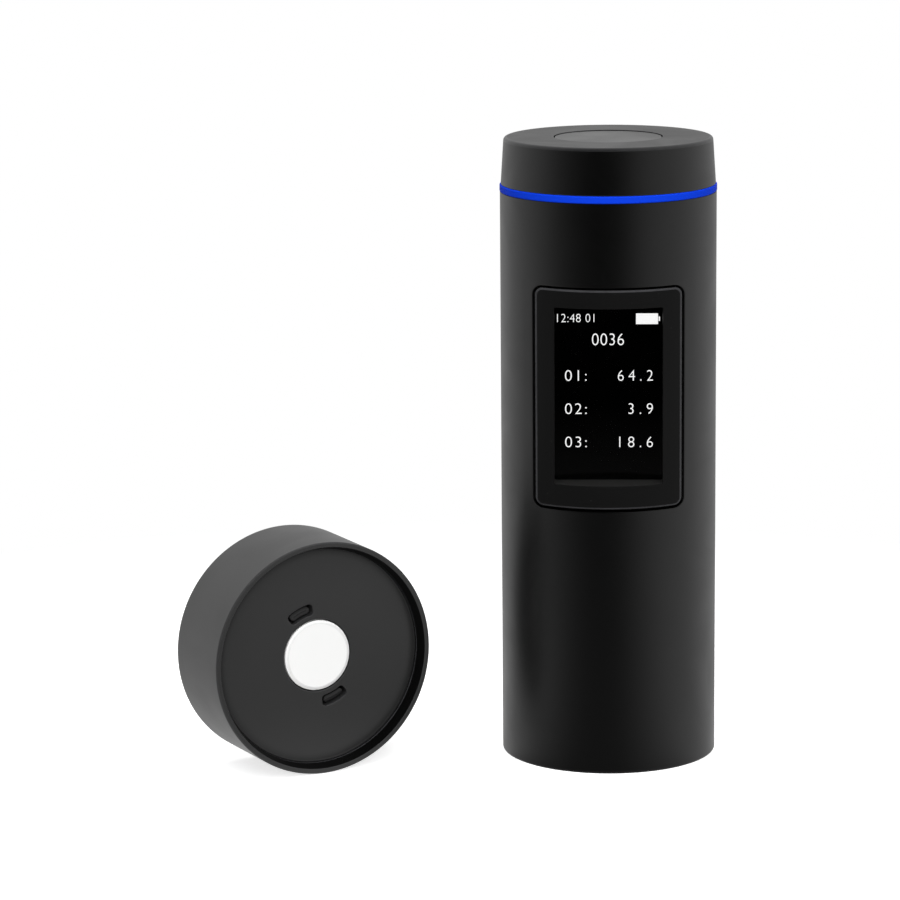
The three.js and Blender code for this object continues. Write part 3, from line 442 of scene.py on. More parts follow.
# %% Barrel
BOTTOM_EDGE = 0.3
TOP_EDGE = 0.08
PLAIN_STEPS = 42
NUDGE = 1e-6
STRAIGHT_REACH, BLEND_REACH = 14.0, 2.0
# Ledge and groove of the bore: height on the outer wall, radius, height on the inner wall.
BORE_STEPS = np.array([
    (2.9, 14.3, 3.0), (3.0, 13.0, 3.0), (4.2, 13.0, 4.2), (4.3, 14.3, 4.2),
    (79.45, 14.3, 79.55), (79.55, 14.65, 79.55), (80.75, 14.65, 80.75), (80.85, 14.3, 80.75),
])


def between(*knots):
    """Evenly spaced values from knot to knot: value, steps, value, steps, value and so on."""
    values = [np.linspace(knots[k], knots[k + 2], knots[k + 1], endpoint=False)
              for k in range(0, len(knots) - 2, 2)]
    return np.concatenate([*values, [knots[-1]]])


def side_angle(x):
    return math.asin(x / BARREL_RADIUS)


display_steps = (5, 26, 22)
port_steps = (6, 6, 1)
display_hole = rounded_outline(10.75, 38.55, 70.68, 1.4, display_steps)
port_hole = rounded_outline(4.9, 19.0, 23.0, 1.99, port_steps)
display_block, display_straight = side_angle(11.9), side_angle(9.5)
port_block, port_straight = side_angle(5.8), side_angle(2.9)

barrel_u = between(
    -display_block, 5, -display_straight, 26, display_straight, 5, display_block, PLAIN_STEPS,
    np.pi - port_block, 6, np.pi - port_straight, 6, np.pi + port_straight, 6,
    np.pi + port_block, PLAIN_STEPS, 2 * np.pi - display_block)[:-1]
edge_angles = np.linspace(0, np.pi / 2, 6)
bottom_rows = BOTTOM_EDGE * (1 - np.cos(edge_angles))
top_rows = BARREL_HEIGHT - TOP_EDGE * (1 - np.cos(edge_angles[::-1]))
barrel_v = np.concatenate([
    bottom_rows, [0.37], between(2.9, 1, 3.0, 1, 4.2, 1, 4.3, 10, 18.0),
    between(18.0, 6, 20.99, 1, 21.01, 6, 24.0, 8, 37.8, 5, 40.2, 22, 69.15, 5, 71.55)[1:],
    between(72.8, 4, 79.45, 1, 79.55, 1, 80.75, 1, 80.85), [82.5], top_rows,
])
port_i = 2 * display_steps[0] + display_steps[1] + PLAIN_STEPS
holes = []
for outline, i, low, (corner, across, up), middle in (
    (display_hole, 0, 37.8, display_steps, 0.0), (port_hole, port_i, 18.0, port_steps, np.pi),
):
    j = int(np.searchsorted(barrel_v, low - NUDGE))
    outline_uv = np.stack([middle + np.arcsin(outline[:, 0] / BARREL_RADIUS), outline[:, 1]], -1)
    holes.append(((i, i + 2 * corner + across, j, j + 2 * corner + up), outline_uv))


def barrel_outside(points, sinks):
    """A cylinder whose ends curve in: at the height h inside an edge of size s the radius is less by
    s - sqrt(s^2 - (s - h)^2). A hole's rim sinks below it."""
    angle, height = points.T
    low = np.clip(BOTTOM_EDGE - height, 0, BOTTOM_EDGE)
    high = np.clip(height - (BARREL_HEIGHT - TOP_EDGE), 0, TOP_EDGE)
    radius = BARREL_RADIUS - sinks - (BOTTOM_EDGE - np.sqrt(BOTTOM_EDGE**2 - low**2))
    radius = radius - (TOP_EDGE - np.sqrt(TOP_EDGE**2 - high**2))
    return np.stack([radius * np.sin(angle), -radius * np.cos(angle), height], -1)


def barrel_inside(points, sinks):
    """The bore. Up to 12 mm to the side, the sideways place is that of the outer point; from there to
    14 mm it goes over to the outer point's angle. Ledge and groove are steps of the radius."""
    angle, height = points.T
    sideways = BARREL_RADIUS * np.abs(np.sin(angle))
    steepness = np.arcsin(np.clip(np.abs(np.sin(angle)), 0, 1))
    straight = np.arcsin(np.clip(sideways / BORE_RADIUS, 0, 1))
    weight = np.clip((STRAIGHT_REACH - sideways) / BLEND_REACH, 0, 1)
    leaning = steepness + weight * (straight - steepness)
    outer_level, step_radius, inner_level = BORE_STEPS.T
    radius = np.interp(height, outer_level, step_radius)
    level = np.interp(height, [0, *outer_level, BARREL_HEIGHT], [0, *inner_level, BARREL_HEIGHT])
    return np.stack([
        radius * np.sin(leaning) * np.sign(np.sin(angle)),
        -radius * np.cos(leaning) * np.sign(np.cos(angle)), level], -1)


flat_barrel = sheet(barrel_u, barrel_v, holes, BARREL_RADIUS)
barrel_points, barrel_faces = walled(flat_barrel, barrel_outside, barrel_inside)
# The bottom rounding takes the edge tone: wear and a painted highlight.
flat_edge = np.where(flat_barrel[0][:, 1] < BOTTOM_EDGE, 1.0, 0.0)
barrel_edges = np.concatenate([flat_edge, np.zeros(len(flat_edge))])
make_piece(
    "barrel_fine", [without_loose_points(barrel_points, barrel_faces, barrel_edges)],
    round_instrument, "instrument", "satin_black", "barrel")

# %% [markdown]
# ## The display's frame
#
# The frame follows the barrel's curve and stands a quarter of a millimetre proud of it. Its outer edge is
# rounded, and with a paler tone painted on the rounding as a highlight it draws the fine light line in the
# photograph. The window is a deep straight tunnel, and the display lies at its bottom. The tunnel takes the
# dust tone, which there is painted light on the ledge below the display. The piece is made of loops round
# the window, each a rounded rectangle seen from the front, with every point set back onto the curved face
# and then to the depth of its loop.

# %% Display frame
BEZEL_RADIUS = 15.85
BEZEL_BACK = -10.7
OUTER_ROUND = 0.24
WINDOW_ROUND = 0.06
FLAT_FROM = 0.06
# Half width, bottom, top and corner of the frame and of its window.
FRAME_SIZE = (10.4, 38.95, 70.4, 1.1)
WINDOW_SIZE = (7.7, 42.3, 67.75, 0.25)
loop_steps = (4, 22, 30)


def drawn_in(size, inset):
    """A rounded rectangle drawn in by the inset on every side, or let out if the inset is negative."""
    half_width, low, high, corner = size
    return rounded_outline(half_width - inset, low + inset, high - inset, corner - inset, loop_steps)


def upright(outline, depth):
    """An outline seen from the front, set up at a depth."""
    return np.stack(np.broadcast_arrays(outline[:, 0], depth, outline[:, 1]), -1)


def on_face(outline, depth):
    """The face is part of a cylinder, so its depth at the sideways place x is -sqrt(R^2 - x^2)."""
    return upright(outline, -np.sqrt(BEZEL_RADIUS**2 - outline[:, 0] ** 2) + depth)


quarter = np.linspace(0, np.pi / 2, 5)
frame_edge, window_edge = drawn_in(FRAME_SIZE, 0), drawn_in(WINDOW_SIZE, 0)
loops, loop_edges = [upright(frame_edge, BEZEL_BACK), on_face(frame_edge, OUTER_ROUND + FLAT_FROM)], [0, 0]
# The outer rounding takes the edge tone: wear and a painted highlight.
for angle in quarter:
    inset, depth = OUTER_ROUND * (1 - math.cos(angle)), OUTER_ROUND * (1 - math.sin(angle))
    loops.append(on_face(drawn_in(FRAME_SIZE, inset), depth))
    loop_edges.append(1)
outer_flat = drawn_in(FRAME_SIZE, OUTER_ROUND + FLAT_FROM)
inner_flat = drawn_in(WINDOW_SIZE, -(WINDOW_ROUND + FLAT_FROM))
for share in np.linspace(0, 1, 5):
    loops.append(on_face(outer_flat * (1 - share) + inner_flat * share, 0.0))
    loop_edges.append(0)
for angle in quarter:
    outset, depth = WINDOW_ROUND * (1 - math.sin(angle)), WINDOW_ROUND * (1 - math.cos(angle))
    loops.append(on_face(drawn_in(WINDOW_SIZE, -outset), depth))
    loop_edges.append(0)
loops += [on_face(window_edge, WINDOW_ROUND + FLAT_FROM), upright(window_edge, BEZEL_BACK)]
# The tunnel's loops take the dust tone of inner corners: painted light on the ledge below the display.
loop_edges += [-1, -1]
bezel_points = np.stack(loops)
make_piece(
    "display_bezel_fine",
    [(bezel_points.reshape(-1, 3), grid_faces(*bezel_points.shape[:2], True, True),
      np.repeat(np.array(loop_edges, float), bezel_points.shape[1]))],
    round_instrument, "instrument", "bezel_black", "display_bezel")

# %% [markdown]
# ## The charging port
#
# The port in the back is a flat steel tube with full round ends, drawn from sheet, with a thin tongue
# inside that carries the contacts. Its lip is turned over a little. Loops run from the outer back end to
# the mouth and back along the inside, and close in the middle of the back wall.

# %% Port shell and tongue
PORT_MIDDLE = 21.0
PORT_MOUTH, PORT_BACK, PORT_FLOOR = 13.4, 6.1, 6.4
PORT_WALL = 0.3
PORT_CLOSING = 1.58
TONGUE_TIP = 12.9
TONGUE_HALF_WIDTH, TONGUE_HALF_HEIGHT = 3.3, 0.35
port_loop_steps = (6, 8, 1)


def port_loop(inset, depth, half_width=4.5, half_height=1.6):
    """A flat loop across the port: a rounded rectangle drawn in by the inset, at the given depth."""
    half = half_height - inset
    outline = rounded_outline(half_width - inset, PORT_MIDDLE - half, PORT_MIDDLE + half,
                              half * 0.97, port_loop_steps)
    return upright(outline, depth)


def lofted(loops):
    """Face rows between closed loops of points, each loop one row."""
    grid = np.stack(loops)
    return grid.reshape(-1, 3), grid_faces(*grid.shape[:2], False, True), np.zeros(grid[..., 0].size)


lip = [port_loop(PORT_WALL / 2 * (1 - math.cos(a)), PORT_MOUTH - PORT_WALL / 2 * (1 - math.sin(a)))
       for a in np.linspace(0, np.pi, 9)]
port_shell = lofted([
    port_loop(PORT_CLOSING, PORT_BACK), port_loop(0.1, PORT_BACK), port_loop(0.0, PORT_BACK + 0.1), *lip,
    port_loop(PORT_WALL, PORT_FLOOR + 0.05), port_loop(PORT_WALL + 0.05, PORT_FLOOR),
    port_loop(PORT_CLOSING, PORT_FLOOR)])
make_piece("usb_receptacle_fine", [port_shell], round_instrument, "instrument", "steel", "usb_receptacle")
tongue_sides = [(0.33, PORT_FLOOR), (0.0, PORT_FLOOR), (0.0, TONGUE_TIP - 0.12), (0.04, TONGUE_TIP - 0.04),
                (0.12, TONGUE_TIP), (0.33, TONGUE_TIP)]
tongue = lofted([
    port_loop(inset, y, TONGUE_HALF_WIDTH, TONGUE_HALF_HEIGHT) for inset, y in tongue_sides])
make_piece("port_tongue_fine", [tongue], round_instrument, "instrument", "connector")

# %% [markdown]
# ## The calibration cap
#
# The cap is a cup with a thin rim. It narrows a little towards its mouth, so that it comes out of its
# mould. Inside the rim a short cone leads it over the barrel, and a fine light line, a painted highlight,
# marks the edge where the straight part begins. A face plate closes the cup 2.2 mm deep. The white tile
# stands a tenth of a millimetre out of its middle and has a bevelled edge.

# %% Cup of the cap and white tile
DRAFT = 0.07
cup_profile = [
    (0, 0, 0), (CAP_RADIUS, 0, 0.3), (CAP_RADIUS - DRAFT, CAP_LENGTH, 0.22), (16.3, CAP_LENGTH, 0.08),
    (15.75, 11.75, 0.6), (15.75, 9.5, 0.1), (14.5, 9.5, 0.1), (14.5, 1.5, 0.4), (0, 1.5, 0),
]
boss_profile = [(3.9, 0.75, 0), (5.1, 0.75, 0), (5.1, 5.5, 0.15), (3.9, 5.5, 0.15)]
cap_shell = make_piece(
    "cap_shell_fine", [turned(cup_profile, 256), turned(boss_profile, 96)],
    round_cap, "calibration_cap", "cap_black", "cap_shell")
TILE_RADIUS, TILE_BACK, TILE_FACE = 5.15, 8.6, 11.4
tile_profile = [
    (0, TILE_BACK, 0), (TILE_RADIUS, TILE_BACK, 0.1), (TILE_RADIUS, 11.2, 0.15), (4.75, TILE_FACE, 0.6),
    (0, TILE_FACE, 0),
]
make_piece(
    "white_tile_fine", [turned(tile_profile)], round_cap, "calibration_cap", "white_tile", "white_tile")

# %% [markdown]
# The face plate is a sheet in angle and radius. Its two slots are arcs, so a rounded rectangle in those two
# parameters already has the right shape. Its outer edge runs up the wall in a small hollow fillet, and its
# outer ring is painted darker than the rest towards the wall: painted shade.

# %% Face plate of the cap
PLATE_TOP = 11.3
PLATE_BOTTOM = 9.8
PLATE_EDGE = 15.7
PLATE_FILLET = 0.25
WALL_SHADE_INNER = 14.4
HOLE_RADIUS = 5.32
SLOT_MIDDLE = 6.925
SLOT_INNER, SLOT_OUTER, SLOT_CORNER = 6.1, 7.75, 0.55
BLOCK_INNER = 5.47
slot_half = math.pi / 11
slot_angles = [math.radians(112), math.radians(292)]
slot_steps = (4, 10, 2)
slot_outline = rounded_outline(slot_half * SLOT_MIDDLE, SLOT_INNER, SLOT_OUTER, SLOT_CORNER, slot_steps)
slot_outline[:, 0] /= SLOT_MIDDLE
block_half = slot_half + 0.9 / SLOT_MIDDLE
inner_half = slot_half - SLOT_CORNER / SLOT_MIDDLE
knots = []
for middle in slot_angles:
    knots += [middle - block_half, 4, middle - inner_half, 10, middle + inner_half, 4]
    knots += [middle + block_half, 40]
plate_u = between(*knots, slot_angles[0] - block_half + 2 * np.pi)[:-1]
fillet_angles = np.linspace(0, np.pi / 2, 7)
plate_v = np.concatenate([
    HOLE_RADIUS + RIM * (1 - np.cos(edge_angles)), [5.455],
    between(BLOCK_INNER, 4, 6.75, 2, 7.1, 4, 8.5), [10, 12], between(WALL_SHADE_INNER, 8, 15.4),
    PLATE_EDGE - PLATE_FILLET + PLATE_FILLET * np.sin(fillet_angles)])
slot_i = (0, 4 + 10 + 4 + 40)
slot_j = int(np.searchsorted(plate_v, BLOCK_INNER - NUDGE))
slot_columns, slot_rows = 2 * slot_steps[0] + slot_steps[1], 2 * slot_steps[0] + slot_steps[2]
slot_holes = [
    ((i, i + slot_columns, slot_j, slot_j + slot_rows), slot_outline + np.array([angle, 0.0]))
    for i, angle in zip(slot_i, slot_angles)]


def wall_shade_share(radius):
    """Nought on most of the plate, growing evenly to one at its edge: the share of painted shade by the wall.
    """
    return np.clip((radius - WALL_SHADE_INNER) / (PLATE_EDGE - WALL_SHADE_INNER), 0, 1)


def plate_front(points, sinks):
    """Level, but for the rounded rim of the middle hole and the hollow quarter circle at the outside."""
    angle, radius = points.T
    rim = np.clip(HOLE_RADIUS + RIM - radius, 0, RIM)
    fillet = np.clip(radius - (PLATE_EDGE - PLATE_FILLET), 0, PLATE_FILLET)
    height = PLATE_TOP - sinks - (RIM - np.sqrt(RIM**2 - rim**2))
    height = height + PLATE_FILLET - np.sqrt(PLATE_FILLET**2 - fillet**2)
    return polar(radius, angle, height)


def plate_back(points, sinks):
    angle, radius = points.T
    return polar(radius, angle, PLATE_BOTTOM)


flat_plate = sheet(plate_u, plate_v, slot_holes, SLOT_MIDDLE)
plate_points, plate_faces = walled(flat_plate, plate_front, plate_back)
plate_radius = flat_plate[0][:, 1]
# Rims of the middle hole and the slots, and the top ring of the fillet, take the edge tone: wear and a painted
# highlight, which draws a light line at the fillet's top.
plate_edge = np.where((flat_plate[1] > 0) | (plate_radius < HOLE_RADIUS + RIM), 1.0, 0.0)
plate_edge[plate_radius > PLATE_EDGE - 0.3 * PLATE_FILLET] = 1.0
plate_edges = np.concatenate([plate_edge, np.zeros(len(plate_edge))])
face_plate = make_piece(
    "cap_face_plate_fine", [without_loose_points(plate_points, plate_faces, plate_edges)],
    round_cap, "calibration_cap", "cap_black", "cap_face_plate")

# %% [markdown]
# Behind the plate sits the carrier that keeps the tile and its foam disc in place. The grey patch inside
# each slot is read as one of its two snap hooks. A hook's head slopes away on its outer half, so that it
# springs inwards when it is pushed through.

# %% Tile carrier with its hooks
HOOK_TOP = 10.95
HOOK_FOOT = 6.4
HOOK_EDGE = 0.12
HOOK_GAP = 0.33
HOOK_CLOSING = 0.5
HOOK_INNER, HOOK_OUTER, HOOK_CORNER = 6.4, 7.45, 0.51
HEAD_SLOPE, HEAD_FROM = 0.55, 9
hook_half = slot_half - HOOK_GAP / SLOT_INNER


def hook(middle):
    """Loops of an arc-shaped pillar: the foot, the side up to the rounding, the rounding, and the flat
    head, which closes by drawing the outline in until its two long sides meet."""
    loops = []
    side = [(HOOK_CLOSING, HOOK_FOOT), (0.0, HOOK_FOOT)]
    side += [(HOOK_EDGE * (1 - math.cos(a)), HOOK_TOP - HOOK_EDGE * (1 - math.sin(a))) for a in quarter]
    side += [(0.3, HOOK_TOP), (HOOK_CLOSING, HOOK_TOP)]
    for inset, height in side:
        length = hook_half * SLOT_MIDDLE - inset
        outline = rounded_outline(
            length, HOOK_INNER + inset, HOOK_OUTER - inset, HOOK_CORNER - inset, (3, 8, 1))
        angle, radius = middle + outline[:, 0] / SLOT_MIDDLE, outline[:, 1]
        slope = HEAD_SLOPE * np.clip(radius - SLOT_MIDDLE, 0, None) * (height > HEAD_FROM)
        loops.append(polar(radius, angle, height - slope))
    return lofted(loops)


carrier_profile = [
    (0, 5.8, 0), (8.85, 5.8, 0.2), (8.85, 7.0, 0.2), (6.0, 7.0, 0.1), (6.0, 9.5, 0.1), (5.25, 9.5, 0.1),
    (5.25, 7.0, 0.1), (0, 7.0, 0),
]
make_piece(
    "tile_carrier_fine", [turned(carrier_profile, 96), *map(hook, slot_angles)],
    round_cap, "calibration_cap", "inner_plastic", "tile_carrier")

# %% [markdown]
# ## What the display shows
#
# The display is a black panel with white figures: a small row at the top, a battery sign, a record number
# and three measured values with their row numbers. The figures are flat faces a hundredth of a millimetre
# in front of the panel, and give off a lit display's full light.

# %% Figures on the display
PANEL_FRONT = -9.9
FIGURE_LIFT = 0.012
FIGURE_DEPTH = PANEL_FRONT - FIGURE_LIFT
STROKE_OFFSET = -0.012


def gathered(items, key, kind=float):
    """Three numbers for each of a mesh's items, as an array."""
    numbers = np.zeros(len(items) * 3, kind)
    items.foreach_get(key, numbers)
    return numbers.reshape(-1, 3)


def figure_faces(text, left, bottom, height, width, from_right=False, spacing=1.06):
    """The faces of a text, as an array of flat triangles in the display's plane. Height and width are the
    whole text's, in millimetres, and a little is taken off every stroke to make it thin."""
    curve = bpy.data.curves.new("figures", "FONT")
    curve.body = text
    curve.space_character = spacing
    curve.offset = STROKE_OFFSET
    holder = linked("figures", curve)
    mesh = bpy.data.meshes.new_from_object(holder.evaluated_get(bpy.context.evaluated_depsgraph_get()))
    mesh.calc_loop_triangles()
    corners = gathered(mesh.vertices, "co")
    triangles = gathered(mesh.loop_triangles, "vertices", int)
    size = height / (corners[:, 1].max() - corners[:, 1].min())
    x = corners[:, 0] - corners[:, 0].min()
    x = x / x.max() * width
    x = x - width if from_right else x
    z = (corners[:, 1] - corners[:, 1].min()) * size
    placed = upright(np.stack([left + x, bottom + z], -1), FIGURE_DEPTH)
    bpy.data.objects.remove(holder)
    bpy.data.curves.remove(curve)
    bpy.data.meshes.remove(mesh)
    return placed, triangles


SMALL, NUMBER, VALUE = 1.2, 1.7, 1.55
LABEL_LEFT, LABEL_WIDTH, LABEL_SPACING = -6.2, 3.1, 1.2
VALUE_RIGHT, VALUE_SPACING = 6.34, 1.5
# Left, right, bottom and top of the battery sign's body and of its pole.
BATTERY_SIGN = [(3.92, 7.05, 64.75, 66.3), (7.13, 7.33, 65.2, 65.85)]
figure_parts = [
    figure_faces("12:48 01", -7.3, 65.05, SMALL, 5.3), figure_faces("0036", -2.34, 61.72, NUMBER, 4.55)]
for label, value, bottom, width in (("01:", "64.2", 56.57, 5.0), ("02:", "3.9", 51.76, 3.5),
                                    ("03:", "18.6", 46.92, 4.8)):
    figure_parts += [
        figure_faces(label, LABEL_LEFT, bottom, VALUE, LABEL_WIDTH, False, LABEL_SPACING),
        figure_faces(value, VALUE_RIGHT, bottom, VALUE, width, True, VALUE_SPACING)]
for x0, x1, z0, z1 in BATTERY_SIGN:
    sign_corners = np.array([[x0, z0], [x1, z0], [x1, z1], [x0, z1]])
    figure_parts.append((upright(sign_corners, FIGURE_DEPTH), np.array([[0, 1, 2], [0, 2, 3]])))
figure_points = round_instrument(np.concatenate([points for points, faces in figure_parts]))
offsets = np.cumsum([0] + [len(points) for points, faces in figure_parts[:-1]])
figure_triangles = np.concatenate([faces + o for (points, faces), o in zip(figure_parts, offsets)])
figures_mesh = bpy.data.meshes.new("display_figures")
figures_mesh.from_pydata(figure_points.tolist(), [], figure_triangles.tolist())
figures = linked("display_figures", figures_mesh)
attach(figures, "instrument")
print("display_figures", len(figure_triangles), "faces")

# %% [markdown]
# ## Helpers for materials
#
# A material is a small network of nodes. One helper puts a value or a wire into a socket and one makes a
# node with all of its inputs. The others make the kinds of node that come up most.

# %% Node helpers
WHITE = (1.0, 1.0, 1.0, 1.0)
MM_PER_METRE = 1000.0
SOCKET_KINDS = {1: "Float", 3: "Vector", 4: "Color"}
COLOUR_OUTPUTS = ("Colour", "Light")


def put(tree, socket, value):
    """Wires another node's output into the socket, or sets the socket to a plain value."""
    if isinstance(value, bpy.types.NodeSocket):
        tree.links.new(value, socket)
    else:
        socket.default_value = value


def node(tree, kind, inputs=None, **settings):
    made = tree.nodes.new("ShaderNode" + kind)
    for key, value in settings.items():
        setattr(made, key, value)
    for key, value in (inputs or {}).items():
        put(tree, made.inputs[key], value)
    return made


def calc(tree, operation, a, b=0.0, clamp=False):
    return node(tree, "Math", {0: a, 1: b}, operation=operation, use_clamp=clamp).outputs[0]


def spread(tree, value, low, high, to_low=0.0, to_high=1.0):
    """Maps a value from one range to another, held at both ends."""
    inputs = {"Value": value, "From Min": low, "From Max": high, "To Min": to_low, "To Max": to_high}
    return node(tree, "MapRange", inputs).outputs[0]


def own_place(tree):
    """Where a point lies on its own object, in metres."""
    return node(tree, "TexCoord").outputs["Object"]


def noise(tree, place, scale, detail, distortion=0.0):
    inputs = {"Vector": place, "Scale": scale, "Detail": detail, "Distortion": distortion}
    return node(tree, "TexNoise", inputs).outputs["Fac"]


def blend_colours(tree, share, a, b):
    made = node(tree, "Mix", {"Factor": share}, data_type="RGBA")
    put(tree, made.inputs[6], a)
    put(tree, made.inputs[7], b)
    return made.outputs[2]


def colour(hexadecimal):
    """A colour as it is seen on a screen, turned into the linear values that the shaders work with."""
    parts = np.array([int(hexadecimal[k:k + 2], 16) for k in (0, 2, 4)]) / 255
    linear = np.where(parts <= 0.04045, parts / 12.92, ((parts + 0.055) / 1.055) ** 2.4)
    return (*linear.tolist(), 1.0)


def group(name, inputs, outputs):
    """A shader node group. An input's first value tells its kind: one number, three for a vector or four
    for a colour. Returns the tree and its input sockets."""
    tree = bpy.data.node_groups.new(name, "ShaderNodeTree")
    for socket, value in inputs.items():
        kind = "NodeSocket" + SOCKET_KINDS[np.size(value)]
        tree.interface.new_socket(name=socket, in_out="INPUT", socket_type=kind).default_value = value
    for socket in outputs:
        kind = "NodeSocketColor" if socket in COLOUR_OUTPUTS else "NodeSocketFloat"
        tree.interface.new_socket(name=socket, in_out="OUTPUT", socket_type=kind)
    tree.nodes.new("NodeGroupOutput")
    return tree, tree.nodes.new("NodeGroupInput").outputs


def give(tree, **results):
    """Wires what a group has worked out to its outputs."""
    for name, value in results.items():
        put(tree, tree.nodes["Group Output"].inputs[name], value)


print("node helpers ready")

# %% [markdown]
# ## Moulded plastic
#
# Black plastic of this kind is never one flat tone. The mould was eroded to a fine matt grain, hands leave
# faint smears that change how it shines, fine dust lies on it, and the edges are polished a little by
# use. The edge tone is partly that wear and partly painted light: a painted highlight on the roundings of
# dark plastic and a painted shade line round the white tile's bevel. The dust tone in inner corners is
# dust, and in the display frame's window tunnel also painted light on the ledge. One group makes all of
# this from the object's own coordinates, in metres, and every plastic piece uses it with its own values.
# A second number on the points darkens the cap's face plate towards its wall: painted shade.

# %% Group: moulded plastic
# Tone of rubbed roundings: wear, and painted light, a highlight on dark plastic and a shade line on the white
# tile.
EDGE_WEAR_AND_LIGHT_TONE = (0.045, 0.045, 0.048, 1.0)
# Near black for the painted shade on the cap's face plate next to its wall.
WALL_SHADE_TONE = (0.001, 0.001, 0.001, 1.0)
# Tone of dust, which in the display frame's window tunnel also paints light on the ledge.
DUST_AND_LIGHT_TONE = (0.12, 0.12, 0.115, 1.0)

plastic, plastic_in = group(
    "moulded_plastic",
    {"Colour": (0.01, 0.01, 0.01, 1.0), "Roughness": 0.45, "Grain Size": 0.12, "Smears": 0.05, "Dust And Light": 0.3,
     "Edge Polish": 0.3},
    ("Colour", "Roughness", "Height"))
place_of = own_place(plastic)
grain_scale = calc(plastic, "DIVIDE", MM_PER_METRE, plastic_in["Grain Size"])
pits = node(plastic, "TexVoronoi", {"Vector": place_of, "Scale": grain_scale}, feature="F1")
relief = calc(plastic, "ADD", noise(plastic, place_of, grain_scale, 2.0),
              calc(plastic, "MULTIPLY", pits.outputs["Distance"], 0.4))
smear_share = spread(plastic, noise(plastic, place_of, 90.0, 4.0, 1.2), 0.35, 0.7, -0.5, 0.5)
edge_value = node(plastic, "Attribute", attribute_name="edge").outputs["Fac"]
# Rounded edges take the edge tone: wear and painted light.
edge_wear_and_light = calc(plastic, "MULTIPLY", spread(plastic, edge_value, 0.2, 1.0),
              spread(plastic, noise(plastic, place_of, 900.0, 3.0), 0.3, 0.7, 0.7, 1.0))
edge_wear_and_light = calc(plastic, "MULTIPLY", edge_wear_and_light, plastic_in["Edge Polish"])
specks = node(plastic, "TexVoronoi", {"Vector": place_of, "Scale": 1400.0, "Randomness": 1.0})
speck_share = spread(plastic, specks.outputs["Distance"], 0.03, 0.1, 1.0, 0.0)
sparse = spread(plastic, noise(plastic, place_of, 260.0, 1.0), 0.58, 0.66)
speck_share = calc(plastic, "MULTIPLY", speck_share, sparse)
speck_share = calc(plastic, "MULTIPLY", speck_share, plastic_in["Dust And Light"])
# Inner corners take the dust tone: dust, and painted light in the display frame's window tunnel.
inner_corner_share = spread(plastic, edge_value, -1.0, -0.2, 0.25, 0.0)
corner_dust_and_light = calc(plastic, "MULTIPLY", inner_corner_share, plastic_in["Dust And Light"])
dust_and_light_share = calc(plastic, "MAXIMUM", speck_share, corner_dust_and_light)
edge_toned = blend_colours(plastic, edge_wear_and_light, plastic_in["Colour"], EDGE_WEAR_AND_LIGHT_TONE)
# Painted shade on the cap's face plate, read from the second number on its points.
wall_shade_value = node(plastic, "Attribute", attribute_name="wall_shade").outputs["Fac"]
with_wall_shade = blend_colours(plastic, wall_shade_value, edge_toned, WALL_SHADE_TONE)
rough = calc(plastic, "ADD", plastic_in["Roughness"],
             calc(plastic, "MULTIPLY", smear_share, plastic_in["Smears"]))
rough = calc(plastic, "SUBTRACT", rough, calc(plastic, "MULTIPLY", edge_wear_and_light, 0.2))
rough = calc(plastic, "ADD", rough, calc(plastic, "MULTIPLY", dust_and_light_share, 0.4), clamp=True)
give(plastic, Colour=blend_colours(plastic, dust_and_light_share, with_wall_shade, DUST_AND_LIGHT_TONE), Roughness=rough, Height=relief)

looks = {}


def finished(name, effect, values, relief_size=0.004, **shader):
    """A material of its own round a group: the group's outputs go to the shader's sockets of that kind, and
    the plain values in shader are set on the shader itself. Relief size is in millimetres."""
    made = bpy.data.materials.new(name)
    made.use_nodes = True
    tree = made.node_tree
    surface = tree.nodes["Principled BSDF"]
    finish = node(tree, "Group")
    finish.node_tree = effect
    for key, value in values.items():
        put(tree, finish.inputs[key], value)
    for output, socket in (("Colour", "Base Color"), ("Roughness", "Roughness"), ("Metallic", "Metallic"),
                           ("Light", "Emission Color")):
        if output in finish.outputs:
            put(tree, surface.inputs[socket], finish.outputs[output])
    if "Height" in finish.outputs:
        bump = node(tree, "Bump", {"Height": finish.outputs["Height"], "Distance": relief_size * MM})
        put(tree, surface.inputs["Normal"], bump.outputs["Normal"])
    for key, value in shader.items():
        put(tree, surface.inputs[key.replace("_", " ")], value)
    looks[name] = made


def moulded(name, tone, roughness, grain_size=0.12, relief_size=0.004, smears=0.06, dust_and_light=0.3, wear_and_light=0.3,
            **shader):
    """A plastic material, from the tone as it is seen and the grain's size in millimetres."""
    values = {"Colour": colour(tone), "Roughness": roughness, "Grain Size": grain_size,
              "Smears": smears, "Dust And Light": dust_and_light, "Edge Polish": wear_and_light}
    finished(name, plastic, values, relief_size, **shader)


moulded("satin_black", "030303", 0.4, dust_and_light=0.12)
moulded("top_black", "040404", 0.4, dust_and_light=0.12)
moulded("button_black", "070706", 0.32, dust_and_light=0.15)
moulded("accent_blue", "0c3cd6", 0.6, dust_and_light=0.0, wear_and_light=0.0, Specular_IOR_Level=0.04)
# The frame's rim takes the full edge tone, a painted highlight, and its window tunnel the dust tone, painted
# light.
moulded("bezel_black", "121212", 0.45, grain_size=0.08, wear_and_light=1.0, dust_and_light=0.4, Specular_IOR_Level=0.06)
moulded("cap_black", "2c2c2c", 0.36, wear_and_light=0.3)
# A darker copy of cap_black for the band inside the rim: painted shade, with a painted highlight on its edges.
moulded("cap_bore_shade", "060606", 0.3, dust_and_light=0.1, wear_and_light=1.0, Specular_IOR_Level=0.2)
moulded("inner_plastic", "242424", 0.6)
moulded("optics_black", "0e0e0f", 0.85, grain_size=0.2)
